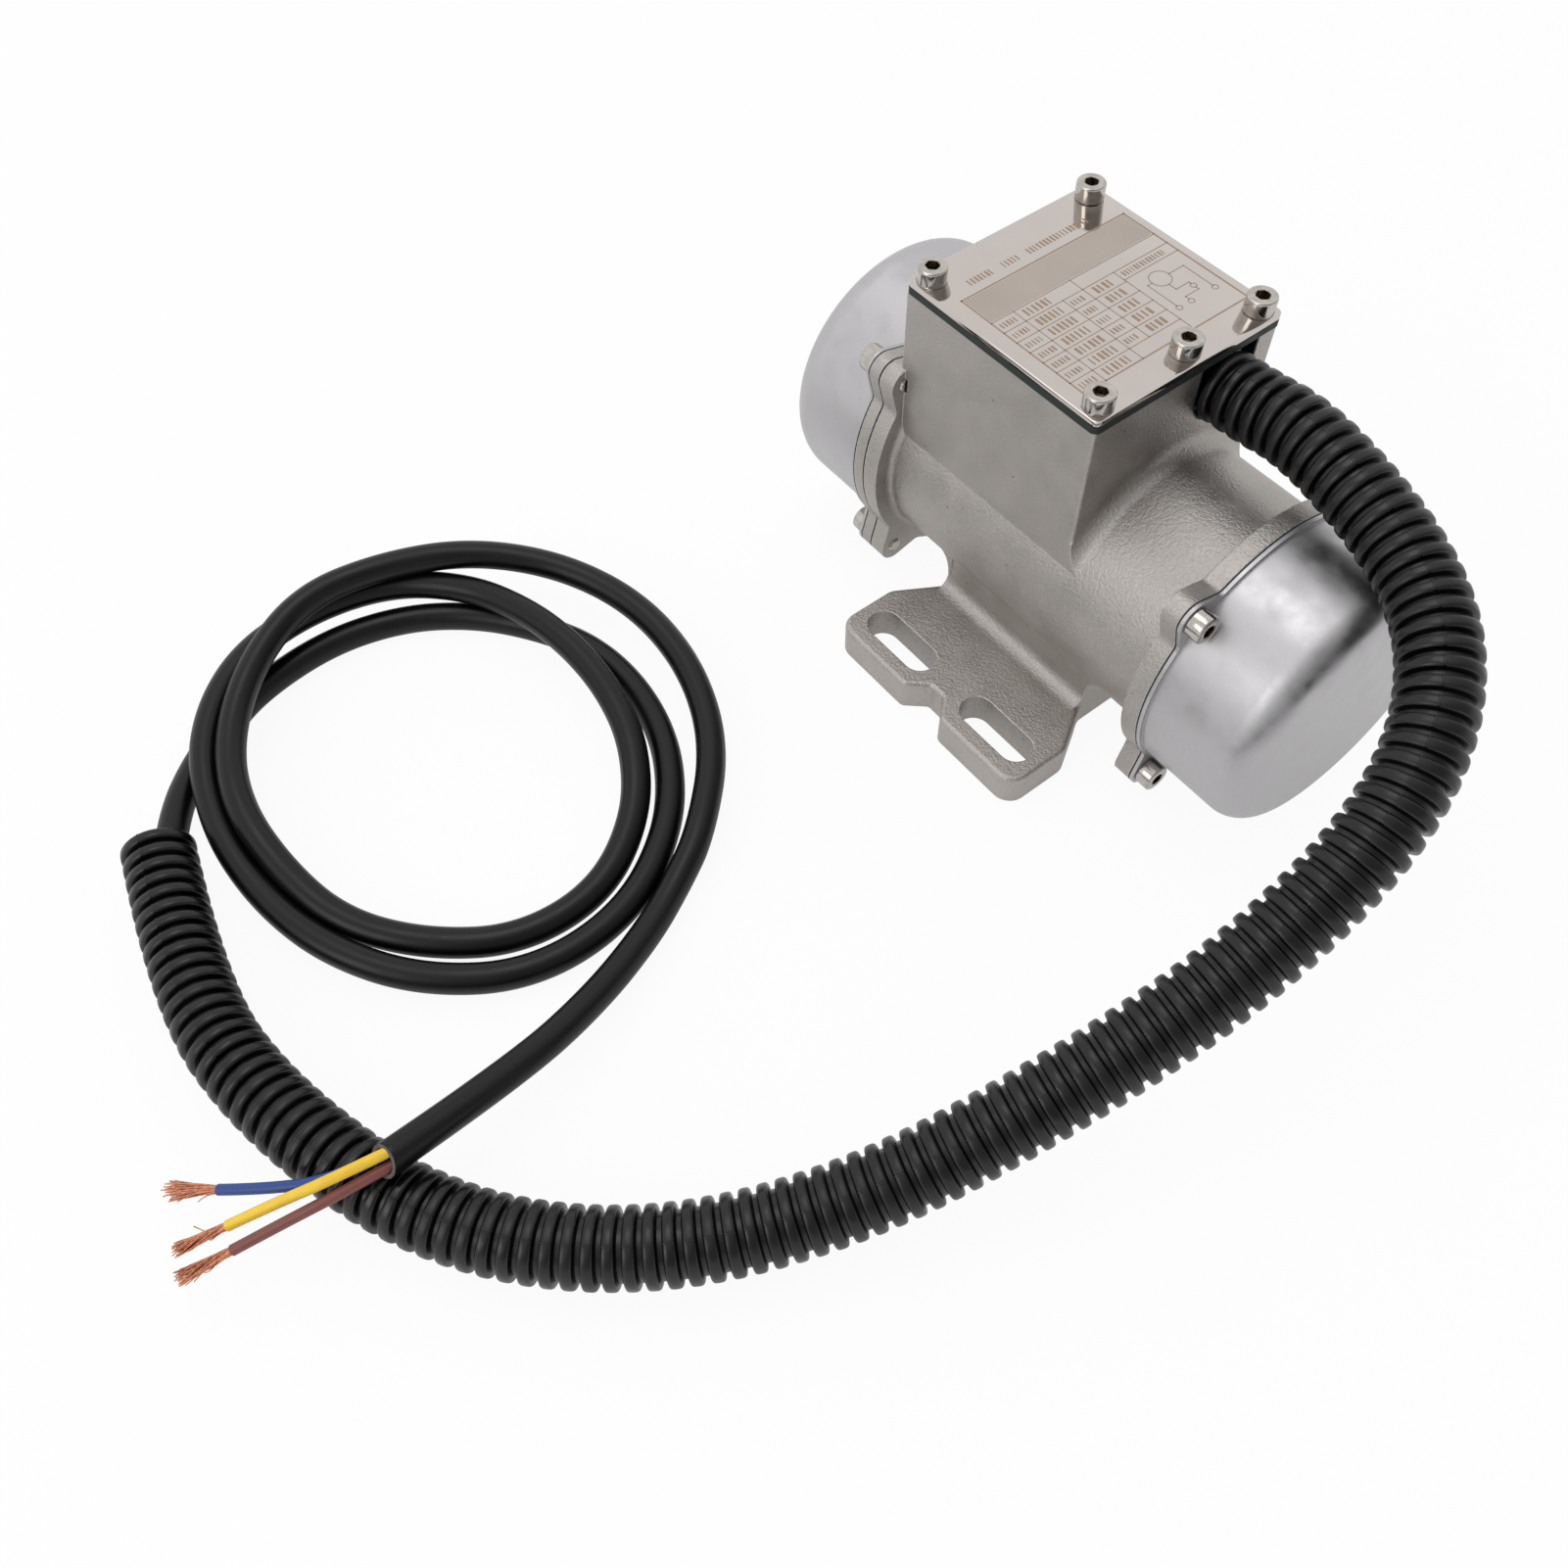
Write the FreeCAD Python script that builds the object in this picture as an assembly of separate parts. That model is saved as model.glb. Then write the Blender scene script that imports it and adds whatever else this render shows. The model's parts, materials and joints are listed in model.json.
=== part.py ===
"""Small vibration motor: a cast motor housing on slotted feet, with two deep-drawn end caps over
eccentric weights, a terminal box on top, and its supply cable in corrugated conduit.

Frame, in millimetres: X runs along the shaft, with +X at the end that the conduit goes towards,
Z is up, and the origin is on the mounting plane in the middle of the four foot slots.
"""
import FreeCAD, Part
import math
import os
from FreeCAD import Vector

# ---------------------------------------------------------------- housing casting
axis_height = 38.0            # shaft axis above the mounting plane
barrel_r = 31.0
bore_r = 27.0                 # stator seat
body_half = 48.6              # middle of the feet to the outer face of either flange
flange_r = 35.8
flange_thickness = 4.6
front_wall = 6.0              # cast end wall that carries the front bearing
bearing_wall = 3.5            # boss wall round each bearing
cast_fillet = 4.0             # where flat walls run into the barrel
flange_fillet = 1.6

# ---------------------------------------------------------------- screw ears, on all rims alike
ear_count = 4
screw_circle_r = 39.1
ear_tip_r = 4.35
ear_side_angle = 30.0         # each side of an ear leans this much from its middle line
ear_root_r = 2.5
ear_depth = 6.0               # how far an ear reaches into its disc

# ---------------------------------------------------------------- feet
foot_thickness = 9.0
foot_half_span = 56.0         # outer edges, along Y
neck_half = 25.5              # pedestal, along X
pedestal_half = 25.0          # pedestal, along Y
pedestal_fillet = 4.0
pedestal_lean = 0.6           # each side leans in by this much
pedestal_top_drop = 8.0       # its sides run into the barrel this far below the axis
lobe_half = 33.3              # feet, along X
lobe_length = 18.0            # along Y, where the feet have their full width
lobe_corner_r = 5.0           # both corners of each foot
neck_corner_r = 4.0
notch_mouth_r = 2.5
notch_floor_r = 1.5
slot_end_inset = 15.3         # slot centres inside the feet's ends, along X
slot_side_inset = 9.0         # slot centres inside the feet's outer edges, along Y
slot_length = 23.0
slot_width = 9.0
notch_half = 7.0
notch_floor_half = 2.25
notch_depth = 5.2
foot_edge_r = 1.2
relief_depth = 1.5            # underside, between the two machined pads
relief_half = 27.0

# ---------------------------------------------------------------- terminal box and its cover
box_rear_inset = 3.4          # rear wall inside the rear flange's outer face
box_length = 59.5
box_half_width = 28.0
box_top = 92.0
box_wall = 3.0
box_edge_r = 0.8
box_cavity_floor = 56.0       # lowest point beside the barrel
cover_gasket_thickness = 1.85
cover_thickness = 1.45
cover_corner_r = 1.8
cover_lip = 0.4               # cover and gasket stand this much outside the walls
cover_screw_inset = 3.6       # screw centres inside the walls
cover_boss_r = 4.4
cover_boss_depth = 14.0
front_screw_inset = 4.1       # fifth cover screw, inside the front wall
front_screw_y = 2.0
lead_hole_inset = 14.2        # lead hole, inside the rear wall
lead_hole_r = 5.0

# ---------------------------------------------------------------- caps, end shield, gaskets
cap_sheet = 0.9
cap_r = 34.8
cap_depth = 28.8
cap_corner_r = 8.0
cap_gasket_thickness = 0.4
shield_gasket_thickness = 0.5
shield_thickness = 3.3
spigot_depth = 4.0
spigot_wall = 3.0

# ---------------------------------------------------------------- screws
screw_r = 2.0                 # M4
thread_runout = 0.5           # tapped holes go this much deeper than their screws
screw_head_r = 3.5
screw_head_height = 4.0
socket_flats = 3.0
socket_depth = 2.2
cover_screw_length = 12.0
cap_screw_grip = 5.0          # length in the tapped flange
thread_gap = 0.05
hole_gap = 0.25

# ---------------------------------------------------------------- bearings, shaft, rotor, stator
bearing_bore_r = 5.0
bearing_outer_r = 15.0
bearing_width = 9.0
bearing_inset = 10.0          # flange face to the bearing's inner face
bearing_inner_r = 7.4         # outside of the inner ring
bearing_gap = 0.08
seat_lip = 1.0
seat_lip_r = 12.0
preload_thickness = 1.2
preload_gap = 0.4             # wave washer to the bearing seat
shaft_mid_r = 6.0
shaft_tip = 1.9               # shaft beyond the circlip
rotor_r = 14.5
air_gap = 0.3
core_to_turns = 13.0          # length of the end turns beyond the core
cage_ring = 4.0               # length of each cast end ring
cage_inner_r = 8.0
cage_outer_r = 13.4
cage_bars = 14
cage_bar_width = 1.8
cage_bar_depth = 3.0
cage_bridge = 0.8             # iron outside the bars
stator_slots = 12
slot_cut_width = 5.0
slot_floor_r = 23.5
tooth_tip = 1.8
slot_opening = 2.0
winding_gap = 0.3
winding_clearance = 8.6       # end turns to the bearing's inner face
winding_inner_r = 17.5
winding_outer_r = 24.5

# ---------------------------------------------------------------- eccentric weights
spacer_length = 3.0
spacer_r = 7.5
weight_r = 25.5
weight_thickness = 8.0
weight_half_angle = 65.0
weight_hub_r = 10.0
weight_gap = 0.5
key_width = 3.0
key_into_shaft = 1.8
lug_reach = 17.0
lug_width = 10.0
clamp_slit = 1.2
clamp_screw_r = 1.5           # M3
clamp_head_r = 2.75
clamp_head_height = 3.0
circlip_r = 7.4
circlip_thickness = 1.0
circlip_groove = 0.5
circlip_opening = 50.0

# ---------------------------------------------------------------- inside the terminal box
pad_inset = 21.2              # from the box's rear wall
pad_length = 24.0
pad_width = 19.0
pad_y = 1.0
pad_rise = 1.5                # top of the pads above the barrel's crown
block_height = 13.0
block_wall = 2.0
capacitor_length = 37.0
capacitor_width = 11.0
capacitor_height = 21.0
capacitor_inset = 8.7         # from the box's rear wall
capacitor_gap = 2.0           # to the side wall
capacitor_corner_r = 1.5
earth_inset = 9.2
earth_y = 15.0
earth_boss_r = 4.2
earth_head_height = 2.4
earth_slit_depth = 1.0
earth_slit_width = 1.0
earth_screw_length = 5.5

# ---------------------------------------------------------------- conduit and cable
conduit_r = 8.5
conduit_inner_x = 5.0         # inner end, inside the terminal box
seal_wall = 0.5
conduit_screw_gap = 0.2       # seal to the fifth cover screw beside it
conduit_top_gap = 0.3         # conduit to the top of the box walls
cable_r = 3.7
core_r = 1.2
strands_r = 0.95
strands_length = 14.0
coil_height = 10.0
cord_gap = 0.3

coil_centre = (-65.1, -152.5)
coil_half_x = 70.8
coil_half_y = 64.2
coil_eye = (-61.7, -159.5)
coil_eye_half_x = 49.2
coil_eye_half_y = 42.4

# ---------------------------------------------------------------- places that follow
bore_end = body_half - front_wall
bearing_x = body_half - bearing_inset
bearing_end = bearing_x + bearing_width
winding_half = bearing_x - winding_clearance
core_half = winding_half - core_to_turns
cap_front_x = body_half + cap_gasket_thickness
shield_x = body_half + shield_gasket_thickness
shield_end = shield_x + shield_thickness
cap_rear_x = shield_end + cap_gasket_thickness
rear_shift = cap_rear_x - cap_front_x   # the end shield moves the rear weights out by this much
fixed_x = bearing_end + spacer_length
loose_x = fixed_x + weight_thickness + weight_gap
circlip_x = loose_x + weight_thickness + weight_gap
shaft_half = circlip_x + circlip_thickness + shaft_tip
lobe_start = foot_half_span - lobe_length
slot_x = lobe_half - slot_end_inset
slot_y = foot_half_span - slot_side_inset
box_rear_x = box_rear_inset - body_half
box_front_x = box_rear_x + box_length
front_screw_x = box_front_x - front_screw_inset
lead_hole_x = box_rear_x + lead_hole_inset
pad_x = box_rear_x + pad_inset
pad_top = axis_height + barrel_r + pad_rise
capacitor_x = box_rear_x + capacitor_inset
earth_x = box_rear_x + earth_inset
cover_x = box_rear_x - cover_lip
cover_length = box_front_x - box_rear_x + 2 * cover_lip
cover_half = box_half_width + cover_lip
cover_base = box_top + cover_gasket_thickness
cover_top = cover_base + cover_thickness
conduit_y = front_screw_y + screw_r + conduit_screw_gap + seal_wall + conduit_r
conduit_z = box_top - conduit_top_gap - conduit_r
conduit_low = conduit_r + 0.1           # its axis where it lies on the floor
conduit_crest = 2 * conduit_r           # the tail lies over this

# ---------------------------------------------------------------- routes of the conduit and cable
conduit_route = [
    (conduit_inner_x, conduit_y, conduit_z), (41, conduit_y, conduit_z), (74, 7, conduit_z + 0.3),
    (97.5, -12, 76), (108.5, -36, 62.5), (109, -68, 45.5), (102, -107, 27.5), (90.5, -150, 13.5),
    (69, -191, conduit_low), (38, -220.5, conduit_low), (-2, -235.5, conduit_low),
    (-43.5, -237.3, conduit_low), (-84, -225, conduit_low),
]
lead_in_route = [(-77, -225.2, 7.2), (-88, -219.5, 6), (-99.5, -208.7, 4.6), (-106.5, -198, 3.8)]
tail_route = [
    (2.2, -133.7, 3.9), (9.2, -147, 4.2), (16.6, -166, 6.8), (22.6, -189, 12),
    (26.6, -219.6, conduit_crest + 3.5),
]
blue_route = [
    (25.3, -218.3, conduit_crest + 2.9), (22.3, -231.5, conduit_crest + 3.6), (13.5, -244, 15.5),
    (7.1, -251.1, 12),
]
yellow_route = [
    (26.6, -217.9, conduit_crest + 5.4), (24.6, -231.4, conduit_crest + 6), (18.5, -243.5, 15.8),
    (15, -253, 12),
]
brown_route = [
    (28.3, -218.2, conduit_crest + 2.9), (27, -231, conduit_crest + 3.2), (23, -244, 15.5),
    (20.1, -254.4, 12),
]

X = Vector(1, 0, 0)
Y = Vector(0, 1, 0)
Z = Vector(0, 0, 1)


# ---------------------------------------------------------------- general shapes
def disc(x0, x1, radius):
    """Cylinder round the shaft axis from x0 to x1."""
    return Part.makeCylinder(radius, x1 - x0, Vector(x0, 0, axis_height), X)


def ring(x0, x1, outer_r, inner_r):
    return disc(x0, x1, outer_r).cut(disc(x0, x1, inner_r))


def box(x0, x1, y0, y1, z0, z1):
    return Part.makeBox(x1 - x0, y1 - y0, z1 - z0, Vector(x0, y0, z0))


def mirrored(shape):
    """The same piece at the other end of the stator."""
    return shape.mirror(Vector(0, 0, 0), X)


def at_rear(shape):
    """The same piece outside the end shield, which takes more room than the cast end wall."""
    return mirrored(shape).translated(X * -rear_shift)


def corner(before, point, after, radius):
    """Start, middle and end of the arc that rounds one corner."""
    back = (before - point).normalize()
    on = (after - point).normalize()
    half_turn = (math.pi - back.getAngle(on)) / 2
    reach = radius * math.tan(half_turn)
    bisector = (back + on).normalize()
    middle = point + bisector * (radius / math.cos(half_turn) - radius)
    return point + back * reach, middle, point + on * reach


def outline(points, radii):
    """Closed wire through points, each corner rounded by its own radius; 0 leaves it sharp."""
    count = len(points)
    arcs = []
    for i, point in enumerate(points):
        if radii[i] > 0:
            arcs.append(corner(points[i - 1], point, points[(i + 1) % count], radii[i]))
        else:
            arcs.append((point, point, point))
    edges = []
    for i, (start, middle, end) in enumerate(arcs):
        last_end = arcs[i - 1][2]
        if last_end.distanceToPoint(start) > 1e-6:
            edges.append(Part.LineSegment(last_end, start).toShape())
        if radii[i] > 0:
            edges.append(Part.Arc(start, middle, end).toShape())
    return Part.Wire(edges)


def prism(points, radii, along):
    return Part.Face(outline(points, radii)).extrude(along)


def turned(points, radii):
    """Solid turned about the shaft axis from (x, radius) points."""
    flat = [Vector(x, radius, 0) for x, radius in points]
    solid = Part.Face(outline(flat, radii)).revolve(Vector(0, 0, 0), X, 360)
    solid.translate(Vector(0, 0, axis_height))
    return solid


def ear_points():
    """Points (x along the shaft is 0) of the screw places round the shaft axis."""
    places = []
    for i in range(ear_count):
        angle = math.radians(360 * (i + 0.5) / ear_count)
        places.append((screw_circle_r * math.cos(angle), axis_height + screw_circle_r * math.sin(angle)))
    return places


def ear(x0, thickness, rim_r):
    """One screw ear, its middle line along +Y."""
    slope = math.radians(ear_side_angle)
    tip_u = screw_circle_r + ear_tip_r * math.sin(slope)
    tip_v = ear_tip_r * math.cos(slope)
    root_u = rim_r - ear_depth
    root_v = tip_v + (tip_u - root_u) * math.tan(slope)
    corners = [Vector(x0, root_u, -root_v), Vector(x0, tip_u, -tip_v),
               Vector(x0, tip_u, tip_v), Vector(x0, root_u, root_v)]
    sides = [Part.LineSegment(corners[0], corners[1]).toShape(),
             Part.Arc(corners[1], Vector(x0, screw_circle_r + ear_tip_r, 0), corners[2]).toShape(),
             Part.LineSegment(corners[2], corners[3]).toShape(),
             Part.LineSegment(corners[3], corners[0]).toShape()]
    solid = Part.Face(Part.Wire(sides)).extrude(X * thickness)
    solid.translate(Vector(0, 0, axis_height))
    return solid


def on_rim(edge, rim_r):
    """True for a straight edge along the shaft that lies on the rim circle."""
    ends = [v.Point for v in edge.Vertexes]
    if len(ends) != 2 or abs(ends[0].x - ends[1].x) < 1e-6:
        return False
    return all(abs(math.hypot(p.y, p.z - axis_height) - rim_r) < 1e-4 for p in ends)


def eared_disc(x0, x1, rim_r):
    """Round rim with its screw ears, their roots rounded."""
    solid = disc(x0, x1, rim_r)
    ears = []
    for i in range(ear_count):
        piece = ear(x0, x1 - x0, rim_r)
        piece.rotate(Vector(0, 0, axis_height), X, 360 * (i + 0.5) / ear_count)
        ears.append(piece)
    solid = solid.multiFuse(ears).removeSplitter()
    roots = [e for e in solid.Edges if on_rim(e, rim_r) and e.Length < 2 * (x1 - x0)]
    roots = [e for e in roots if len(e.Vertexes) == 2 and not is_seam(e, rim_r)]
    return solid.makeFillet(ear_root_r, roots)


def is_seam(edge, rim_r):
    """True for the closing line of the round rim, which isn't a corner."""
    middle = edge.Vertexes[0].Point
    angle = math.degrees(math.atan2(middle.z - axis_height, middle.y)) % (360 / ear_count)
    return angle < 1 or angle > 360 / ear_count - 1


def ear_holes(x0, x1, radius):
    return [Part.makeCylinder(radius, x1 - x0, Vector(x0, y, z), X) for y, z in ear_points()]


# ---------------------------------------------------------------- housing
def barrel():
    """Barrel and both flanges as one turned form, with the cast fillets behind the flanges."""
    inner = body_half - flange_thickness
    points = [(-body_half, 0), (-body_half, flange_r), (-inner, flange_r), (-inner, barrel_r),
              (inner, barrel_r), (inner, flange_r), (body_half, flange_r), (body_half, 0)]
    radii = [0, 0, 0, flange_fillet, flange_fillet, 0, 0, 0]
    return turned(points, radii)


def wall_fillet(x, side):
    """Cast fillet ring where a wall that faces along the shaft meets the barrel."""
    inside = 1.0
    points = [(x - side * inside, barrel_r - inside), (x + side * cast_fillet, barrel_r - inside),
              (x + side * cast_fillet, barrel_r), (x, barrel_r),
              (x, barrel_r + cast_fillet), (x - side * inside, barrel_r + cast_fillet)]
    start = Vector(x + side * cast_fillet, barrel_r, 0)
    end = Vector(x, barrel_r + cast_fillet, 0)
    bow = cast_fillet * (1 - math.sqrt(0.5))
    middle = Vector(x + side * bow, barrel_r + bow, 0)
    flat = [Vector(px, py, 0) for px, py in points]
    edges = [Part.LineSegment(flat[0], flat[1]).toShape(), Part.LineSegment(flat[1], start).toShape(),
             Part.Arc(start, middle, end).toShape(), Part.LineSegment(end, flat[5]).toShape(),
             Part.LineSegment(flat[5], flat[0]).toShape()]
    solid = Part.Face(Part.Wire(edges)).revolve(Vector(0, 0, 0), X, 360)
    solid.translate(Vector(0, 0, axis_height))
    return solid


def foot_outline():
    """Corners and radii of the foot plate: two slotted lobes each side, joined by the neck."""
    outer = foot_half_span
    quarter = [(neck_half, pedestal_half, neck_corner_r), (lobe_half, lobe_start, lobe_corner_r),
               (lobe_half, outer, lobe_corner_r), (notch_half, outer, notch_mouth_r),
               (notch_floor_half, outer - notch_depth, notch_floor_r)]
    loop = list(quarter)
    loop += [(-x, y, r) for x, y, r in reversed(quarter)]
    loop += [(-x, -y, r) for x, y, r in quarter]
    loop += [(x, -y, r) for x, y, r in reversed(quarter)]
    return [Vector(x, y, 0) for x, y, r in loop], [r for x, y, r in loop]


def slot(x, y):
    """Cutter for one bolt slot, long side along the shaft."""
    half = (slot_length - slot_width) / 2
    low = -1.0
    height = foot_thickness + 2
    cutter = box(x - half, x + half, y - slot_width / 2, y + slot_width / 2, low, low + height)
    ends = [Part.makeCylinder(slot_width / 2, height, Vector(x + side * half, y, low), Z)
            for side in (-1, 1)]
    return cutter.multiFuse(ends).removeSplitter()


def feet():
    points, radii = foot_outline()
    plate = prism(points, radii, Z * foot_thickness)
    top = [e for e in plate.Edges if all(abs(v.Z - foot_thickness) < 1e-6 for v in e.Vertexes)]
    plate = plate.makeFillet(foot_edge_r, top)
    for sx in (-1, 1):
        for sy in (-1, 1):
            plate = plate.cut(slot(sx * slot_x, sy * slot_y))
    return plate


def pedestal():
    """Block between the feet and the barrel, with hollow fillets down to the feet."""
    wide = pedestal_half + pedestal_fillet + 1
    low = foot_thickness / 2
    section = [(wide, low), (wide, foot_thickness), (pedestal_half, foot_thickness),
               (pedestal_half - pedestal_lean, axis_height - pedestal_top_drop), (0, axis_height)]
    radii = [0, 0, pedestal_fillet, 0, 0]
    points = [Vector(-neck_half, y, z) for y, z in section]
    points += [Vector(-neck_half, -y, z) for y, z in reversed(section[:-1])]
    radii += list(reversed(radii[:-1]))
    return prism(points, radii, X * 2 * neck_half)


def box_outside():
    body = box(box_rear_x, box_front_x, -box_half_width, box_half_width, axis_height, box_top)
    upright = [e for e in body.Edges if abs(e.Vertexes[0].Z - e.Vertexes[-1].Z) > 1
               and e.Vertexes[0].X > 0]
    return body.makeFillet(box_edge_r, upright)


def cover_screw_places():
    rear = box_rear_x + cover_screw_inset
    front = box_front_x - cover_screw_inset
    side = box_half_width - cover_screw_inset
    corners = [(x, y) for x in (rear, front) for y in (-side, side)]
    return corners + [(front_screw_x, front_screw_y)]


def box_hollow():
    """Inside of the terminal box: its walls, less the screw bosses and the barrel below."""
    hollow = box(box_rear_x + box_wall, box_front_x - box_wall, box_wall - box_half_width,
                 box_half_width - box_wall, box_cavity_floor, box_top)
    hollow = hollow.cut(disc(-body_half, body_half, barrel_r))
    bosses = [Part.makeCylinder(cover_boss_r, cover_boss_depth, Vector(x, y, box_top - cover_boss_depth), Z)
              for x, y in cover_screw_places()]
    pads = [box(pad_x, pad_x + pad_length, pad_y, pad_y + pad_width, axis_height, pad_top),
            Part.makeCylinder(earth_boss_r, pad_top - axis_height, Vector(earth_x, earth_y, axis_height), Z)]
    return hollow.cut(bosses[0].multiFuse(bosses[1:] + pads))


def conduit_notch(x0, x1, radius):
    """U-shaped opening for the conduit, open to the top of the wall."""
    low = conduit_z - radius - 1
    round_part = Part.makeCylinder(radius, x1 - x0, Vector(x0, conduit_y, conduit_z), X)
    upper = box(x0, x1, conduit_y - radius, conduit_y + radius, conduit_z, box_top)
    below_top = box(x0, x1, conduit_y - radius, conduit_y + radius, low, box_top)
    return round_part.common(below_top).fuse(upper).removeSplitter()


def motor_housing():
    """Barrel, flanges, feet and terminal box, cast in one piece and then machined."""
    flanges = [eared_disc(body_half - flange_thickness, body_half, flange_r),
               eared_disc(-body_half, flange_thickness - body_half, flange_r)]
    box_root = wall_fillet(box_front_x, 1).common(
        box(box_front_x - 1, box_front_x + cast_fillet, -box_half_width, box_half_width,
            axis_height, box_top))
    neck_roots = [wall_fillet(side * neck_half, side).common(
        box(-body_half, body_half, -pedestal_half, pedestal_half, 0, axis_height))
        for side in (-1, 1)]
    cast = barrel().multiFuse(flanges + [feet(), pedestal(), box_outside(), box_root] + neck_roots)
    cast = cast.removeSplitter()
    bore = disc(-body_half, bore_end, bore_r)
    boss = disc(bearing_x, bore_end, bearing_outer_r + bearing_wall)
    seat = disc(bearing_x, bearing_end, bearing_outer_r).fuse(disc(bearing_end, body_half, seat_lip_r))
    relief = box(-lobe_half, lobe_half, -relief_half, relief_half, 0, relief_depth)
    leads = Part.makeCylinder(lead_hole_r, box_top - axis_height, Vector(lead_hole_x, 0, axis_height), Z)
    cuts = [bore.cut(boss), seat, box_hollow(), leads.common(disc(-body_half, 0, barrel_r + 5)), relief,
            conduit_notch(conduit_inner_x, box_front_x, conduit_r + seal_wall)]
    cuts += ear_holes(body_half - flange_thickness, body_half, screw_r)
    cuts += ear_holes(-body_half, -body_half + cap_screw_grip + thread_runout, screw_r)
    cover_hole_depth = cover_screw_length - (cover_top - box_top) + thread_runout
    cuts += [Part.makeCylinder(screw_r, cover_hole_depth, Vector(x, y, box_top), Z * -1)
             for x, y in cover_screw_places()]
    cuts.append(Part.makeCylinder(screw_r, earth_screw_length + thread_runout,
                                  Vector(earth_x, earth_y, pad_top), Z * -1))
    return cast.cut(cuts)


# ---------------------------------------------------------------- caps, shield and gaskets
def front_cap():
    """Deep-drawn cup of one sheet thickness, with a flat eared rim."""
    x0 = cap_front_x
    end = cap_front_x + cap_depth
    inner_r = cap_r - cap_sheet
    cup = turned([(x0, 0), (x0, cap_r), (end, cap_r), (end, 0)], [0, 0, cap_corner_r, 0])
    rim = eared_disc(x0, x0 + cap_sheet, flange_r)
    inner_end = end - cap_sheet
    bevel = cap_corner_r - cap_sheet
    hollow = turned([(x0, 0), (x0, inner_r), (inner_end - bevel, inner_r), (inner_end - 0.3 * bevel,
                    inner_r - 0.3 * bevel), (inner_end, inner_r - bevel), (inner_end, 0)],
                    [0, 0, 0, 0, 0, 0])
    cap = cup.fuse(rim).removeSplitter().cut(hollow)
    return cap.cut(ear_holes(x0, x0 + cap_sheet, screw_r + hole_gap))


def rim_gasket(x0, x1):
    gasket = eared_disc(x0, x1, flange_r)
    return gasket.cut(ear_holes(x0, x1, screw_r + hole_gap) + [disc(x0, x1, cap_r - cap_sheet)])


def shield_gasket():
    gasket = eared_disc(-shield_x, -body_half, flange_r)
    return gasket.cut(ear_holes(-shield_x, -body_half, screw_r + hole_gap)
                      + [disc(-shield_x, -body_half, bore_r)])


def rear_end_shield():
    """Removable end shield: eared plate, locating spigot and the rear bearing seat."""
    plate = eared_disc(-shield_end, -shield_x, flange_r)
    spigot_r = bore_r - thread_gap
    spigot = ring(-shield_x, spigot_depth - body_half, spigot_r, spigot_r - spigot_wall)
    boss = disc(-shield_x, -bearing_x, bearing_outer_r + bearing_wall)
    seat = disc(-bearing_end - preload_thickness, -bearing_x, bearing_outer_r)
    opening = disc(-shield_end, -bearing_end, seat_lip_r)
    shield = plate.multiFuse([spigot, boss]).removeSplitter()
    return shield.cut([seat, opening] + ear_holes(-shield_end, -shield_x, screw_r + hole_gap))


# ---------------------------------------------------------------- terminal cover
def cover_plate(z0, z1):
    front = cover_x + cover_length
    points = [Vector(cover_x, -cover_half, z0), Vector(front, -cover_half, z0),
              Vector(front, cover_half, z0), Vector(cover_x, cover_half, z0)]
    plate = prism(points, [cover_corner_r] * 4, Z * (z1 - z0))
    return plate.cut([Part.makeCylinder(screw_r + hole_gap, z1 - z0, Vector(x, y, z0), Z)
                      for x, y in cover_screw_places()])


def cover_gasket():
    """Flat rubber frame that follows the box walls and the screw bosses."""
    hollow = box_hollow().common(box(box_rear_x, box_front_x, -box_half_width, box_half_width,
                                     box_top - cover_gasket_thickness, box_top))
    hollow.translate(Z * cover_gasket_thickness)
    return cover_plate(box_top, cover_base).cut(hollow)


# ---------------------------------------------------------------- screws
def socket_screw(length):
    """Socket-head cap screw standing on z = 0, its shank below; threads left off."""
    head = Part.makeCylinder(screw_head_r, screw_head_height)
    shank = Part.makeCylinder(screw_r - thread_gap, length, Vector(0, 0, 0), Z * -1)
    corner_r = socket_flats / 2 / math.cos(math.pi / 6)
    hexagon = [Vector(corner_r * math.cos(math.radians(60 * i)), corner_r * math.sin(math.radians(60 * i)),
                      screw_head_height) for i in range(6)]
    return head.fuse(shank).cut(prism(hexagon, [0] * 6, Z * -socket_depth))


def cover_screws():
    group = []
    for x, y in cover_screw_places():
        screw = socket_screw(cover_screw_length)
        screw.translate(Vector(x, y, cover_top))
        group.append(screw)
    return Part.makeCompound(group)


def cap_screws(seat_x, side):
    """The four screws of one cap; side is the way that their heads face along the shaft."""
    length = abs(seat_x) - body_half + cap_screw_grip
    group = []
    for y, z in ear_points():
        screw = socket_screw(length)
        screw.rotate(Vector(0, 0, 0), Y, 90 * side)
        screw.translate(Vector(seat_x, y, z))
        group.append(screw)
    return Part.makeCompound(group)


# ---------------------------------------------------------------- bearings and shaft
def bearing_outer():
    """Outer ring with its two seals, which close the balls in."""
    return ring(bearing_x, bearing_end, bearing_outer_r, bearing_inner_r + bearing_gap)


def bearing_inner():
    return ring(bearing_x, bearing_end, bearing_inner_r, bearing_bore_r)


def preload_washer():
    x0 = -bearing_end - preload_thickness
    return ring(x0, -bearing_end, bearing_outer_r - preload_gap, seat_lip_r)


def shaft_end_cuts():
    """Keyway and circlip groove at the +X end."""
    top = axis_height + bearing_bore_r
    keyway = box(fixed_x, fixed_x + weight_thickness, -key_width / 2, key_width / 2,
                 top - key_into_shaft, top + 1)
    groove = ring(circlip_x, circlip_x + circlip_thickness, bearing_bore_r + 1,
                  bearing_bore_r - circlip_groove)
    return [keyway, groove]


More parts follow.
